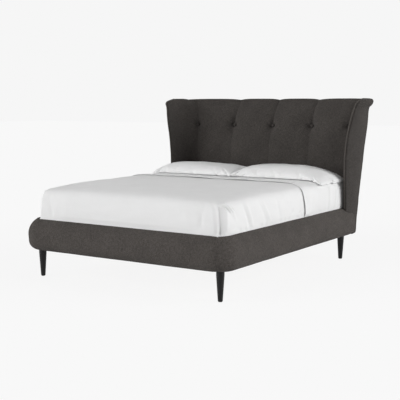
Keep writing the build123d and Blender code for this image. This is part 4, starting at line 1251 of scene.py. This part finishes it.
def dress():
    """Give every piece and every shown node its material."""
    # Painted shade: this copy of the tweed is darker than the rails' copy, for the headboard's lesser light.
    cloth = tweed("charcoal_tweed", **yarns(HEADBOARD_SHADED_TONE))
    rail = tweed("charcoal_tweed_rails", **yarns(RAIL_TONE))
    piping = tweed("charcoal_piping", **yarns(PIPING_TONE), pitch=0.0016)
    button = tweed("charcoal_buttons", **yarns(BUTTON_TONE), pitch=0.0016)
    linen = cotton("bed_linen", LINEN)
    cover = cotton("coverlet_linen", LINEN, pitch=0.0009)
    case = cotton("pillow_linen", LINEN, crumple=1.2)
    ticking = cotton("mattress_ticking_knit", TICKING, pitch=0.0020, crumple=0.6)
    soft = [("headboard_buttons", button), ("headboard", cloth), ("wing_piping", piping),
            ("side_rail", rail), ("foot_rail", rail), ("coverlet", cover), ("turned_down", linen),
            ("fitted_sheet", linen), ("mattress", ticking), ("pillow", case)]
    pine_y, pine_x = timber("pine_lengthwise", *PINE, along=1), timber("pine_across", *PINE, along=0)
    ply_z = timber("plywood_upright", *PLYWOOD, along=2)
    beech = timber("beech_slats", *BEECH, along=0, ring=34.0, gloss=0.40)
    black = lacquer("black_lacquer")
    steel = plain("black_steel", (0.020, 0.020, 0.021), rough=0.45, metallic=0.6)
    plastic = plain("holder_plastic", (0.018, 0.018, 0.019), rough=0.50)
    glide = plain("glide_plastic", (0.030, 0.029, 0.027), rough=0.60)
    hard = [("slat_row", beech), ("slat_holders", plastic), ("leg_plates", steel), ("leg_glides", glide),
            ("leg_", black), ("centre_leg", black), ("centre_beam_shoes", steel), ("foot_rail_core", pine_x),
            ("headboard_cross_rail", pine_x), ("wing_board", ply_z), ("corner_panel", ply_z),
            ("back_board", ply_z), ("", pine_y)]
    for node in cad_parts.values():
        paint(node, hard)
    for name in PIECES:
        paint(bpy.data.objects[name], soft)


# Studio

BACKGROUND, FLOOR_GLOW, FLOOR_COLOUR = (0.9216, 0.9216, 0.9216), (0.985, 0.985, 0.985), (0.80, 0.80, 0.80)
FLOOR_SHARE, FLOOR_SIZE = 0.90, 40.0
SKY_LOW, SKY_HIGH = 0.57, 0.10
# Azimuth and height above the floor in degrees, strength, and width in degrees
LAMPS = (("foot_light", -34, 14, 2.36, 50), ("side_light", 112, 14, 2.58, 50))
CAMERA_PLACE, CAMERA_YAW, CAMERA_PITCH = (3.5887, -5.5805, 1.2480), 33.361, 6.4175
SENSOR, FOCAL_PIXELS, PICTURE_PIXELS = 36.0, 861.18, 400.0


def aim(obj, azimuth, height):
    """Point an object downward and towards the bed from an azimuth and a height, in degrees."""
    a, e = math.radians(azimuth), math.radians(height)
    look = Vector((-math.sin(a) * math.cos(e), math.cos(a) * math.cos(e), -math.sin(e)))
    obj.rotation_mode = "QUATERNION"
    obj.rotation_quaternion = look.to_track_quat("-Z", "Y")


def studio():
    """Pale floor, even light world, two broad lamps and the photograph's camera."""
    scene = bpy.context.scene
    mesh = bpy.data.meshes.new("floor")
    corners = [(x * FLOOR_SIZE, y * FLOOR_SIZE, 0) for x, y in ((-1, -1), (1, -1), (1, 1), (-1, 1))]
    mesh.from_pydata(corners, [], [(0, 1, 2, 3)])
    place("studio_floor", mesh)
    material = bpy.data.materials.new("studio_floor")
    mesh.materials.append(material)
    n = Nodes(material)
    matt, glow = n.add("BsdfDiffuse", {0: FLOOR_COLOUR}), n.add("Emission", {0: FLOOR_GLOW})
    n.blend(n.math("MULTIPLY", n.seen_share(), FLOOR_SHARE), matt, glow, "OutputMaterial")

    scene.world = bpy.data.worlds.new("studio")
    n = Nodes(scene.world)
    up = n.split(n.add("TexCoord").outputs["Generated"])[2]
    lit = n.add("Background", {0: (1.0, 1.0, 1.0), 1: n.range(up, 0.0, 1.0, SKY_LOW, SKY_HIGH)})
    n.blend(n.seen_share(), lit, n.add("Background", {0: BACKGROUND, 1: 1.0}), "OutputWorld")

    for name, azimuth, height, strength, width in LAMPS:
        lamp = bpy.data.lights.new(name, "SUN")
        lamp.energy, lamp.angle = strength, math.radians(width)
        aim(place(name, lamp), azimuth, height)

    camera = bpy.data.cameras.new("camera")
    camera.sensor_width = SENSOR
    camera.lens = SENSOR * FOCAL_PIXELS / PICTURE_PIXELS
    camera.clip_start, camera.clip_end = 0.1, 200.0
    scene.camera = place("camera", camera)
    scene.camera.location = CAMERA_PLACE
    aim(scene.camera, CAMERA_YAW, CAMERA_PITCH)
    scene.view_settings.view_transform = "Standard"


headboard_pad()
headboard_cover()
wing_welts()
buttons()
rail_cover("side", 1)
rail_cover("side", -1)
rail_cover("foot")
mattress()
coverlet()
turned_sheet()
pillow(1)
pillow(-1)
dress()
studio()
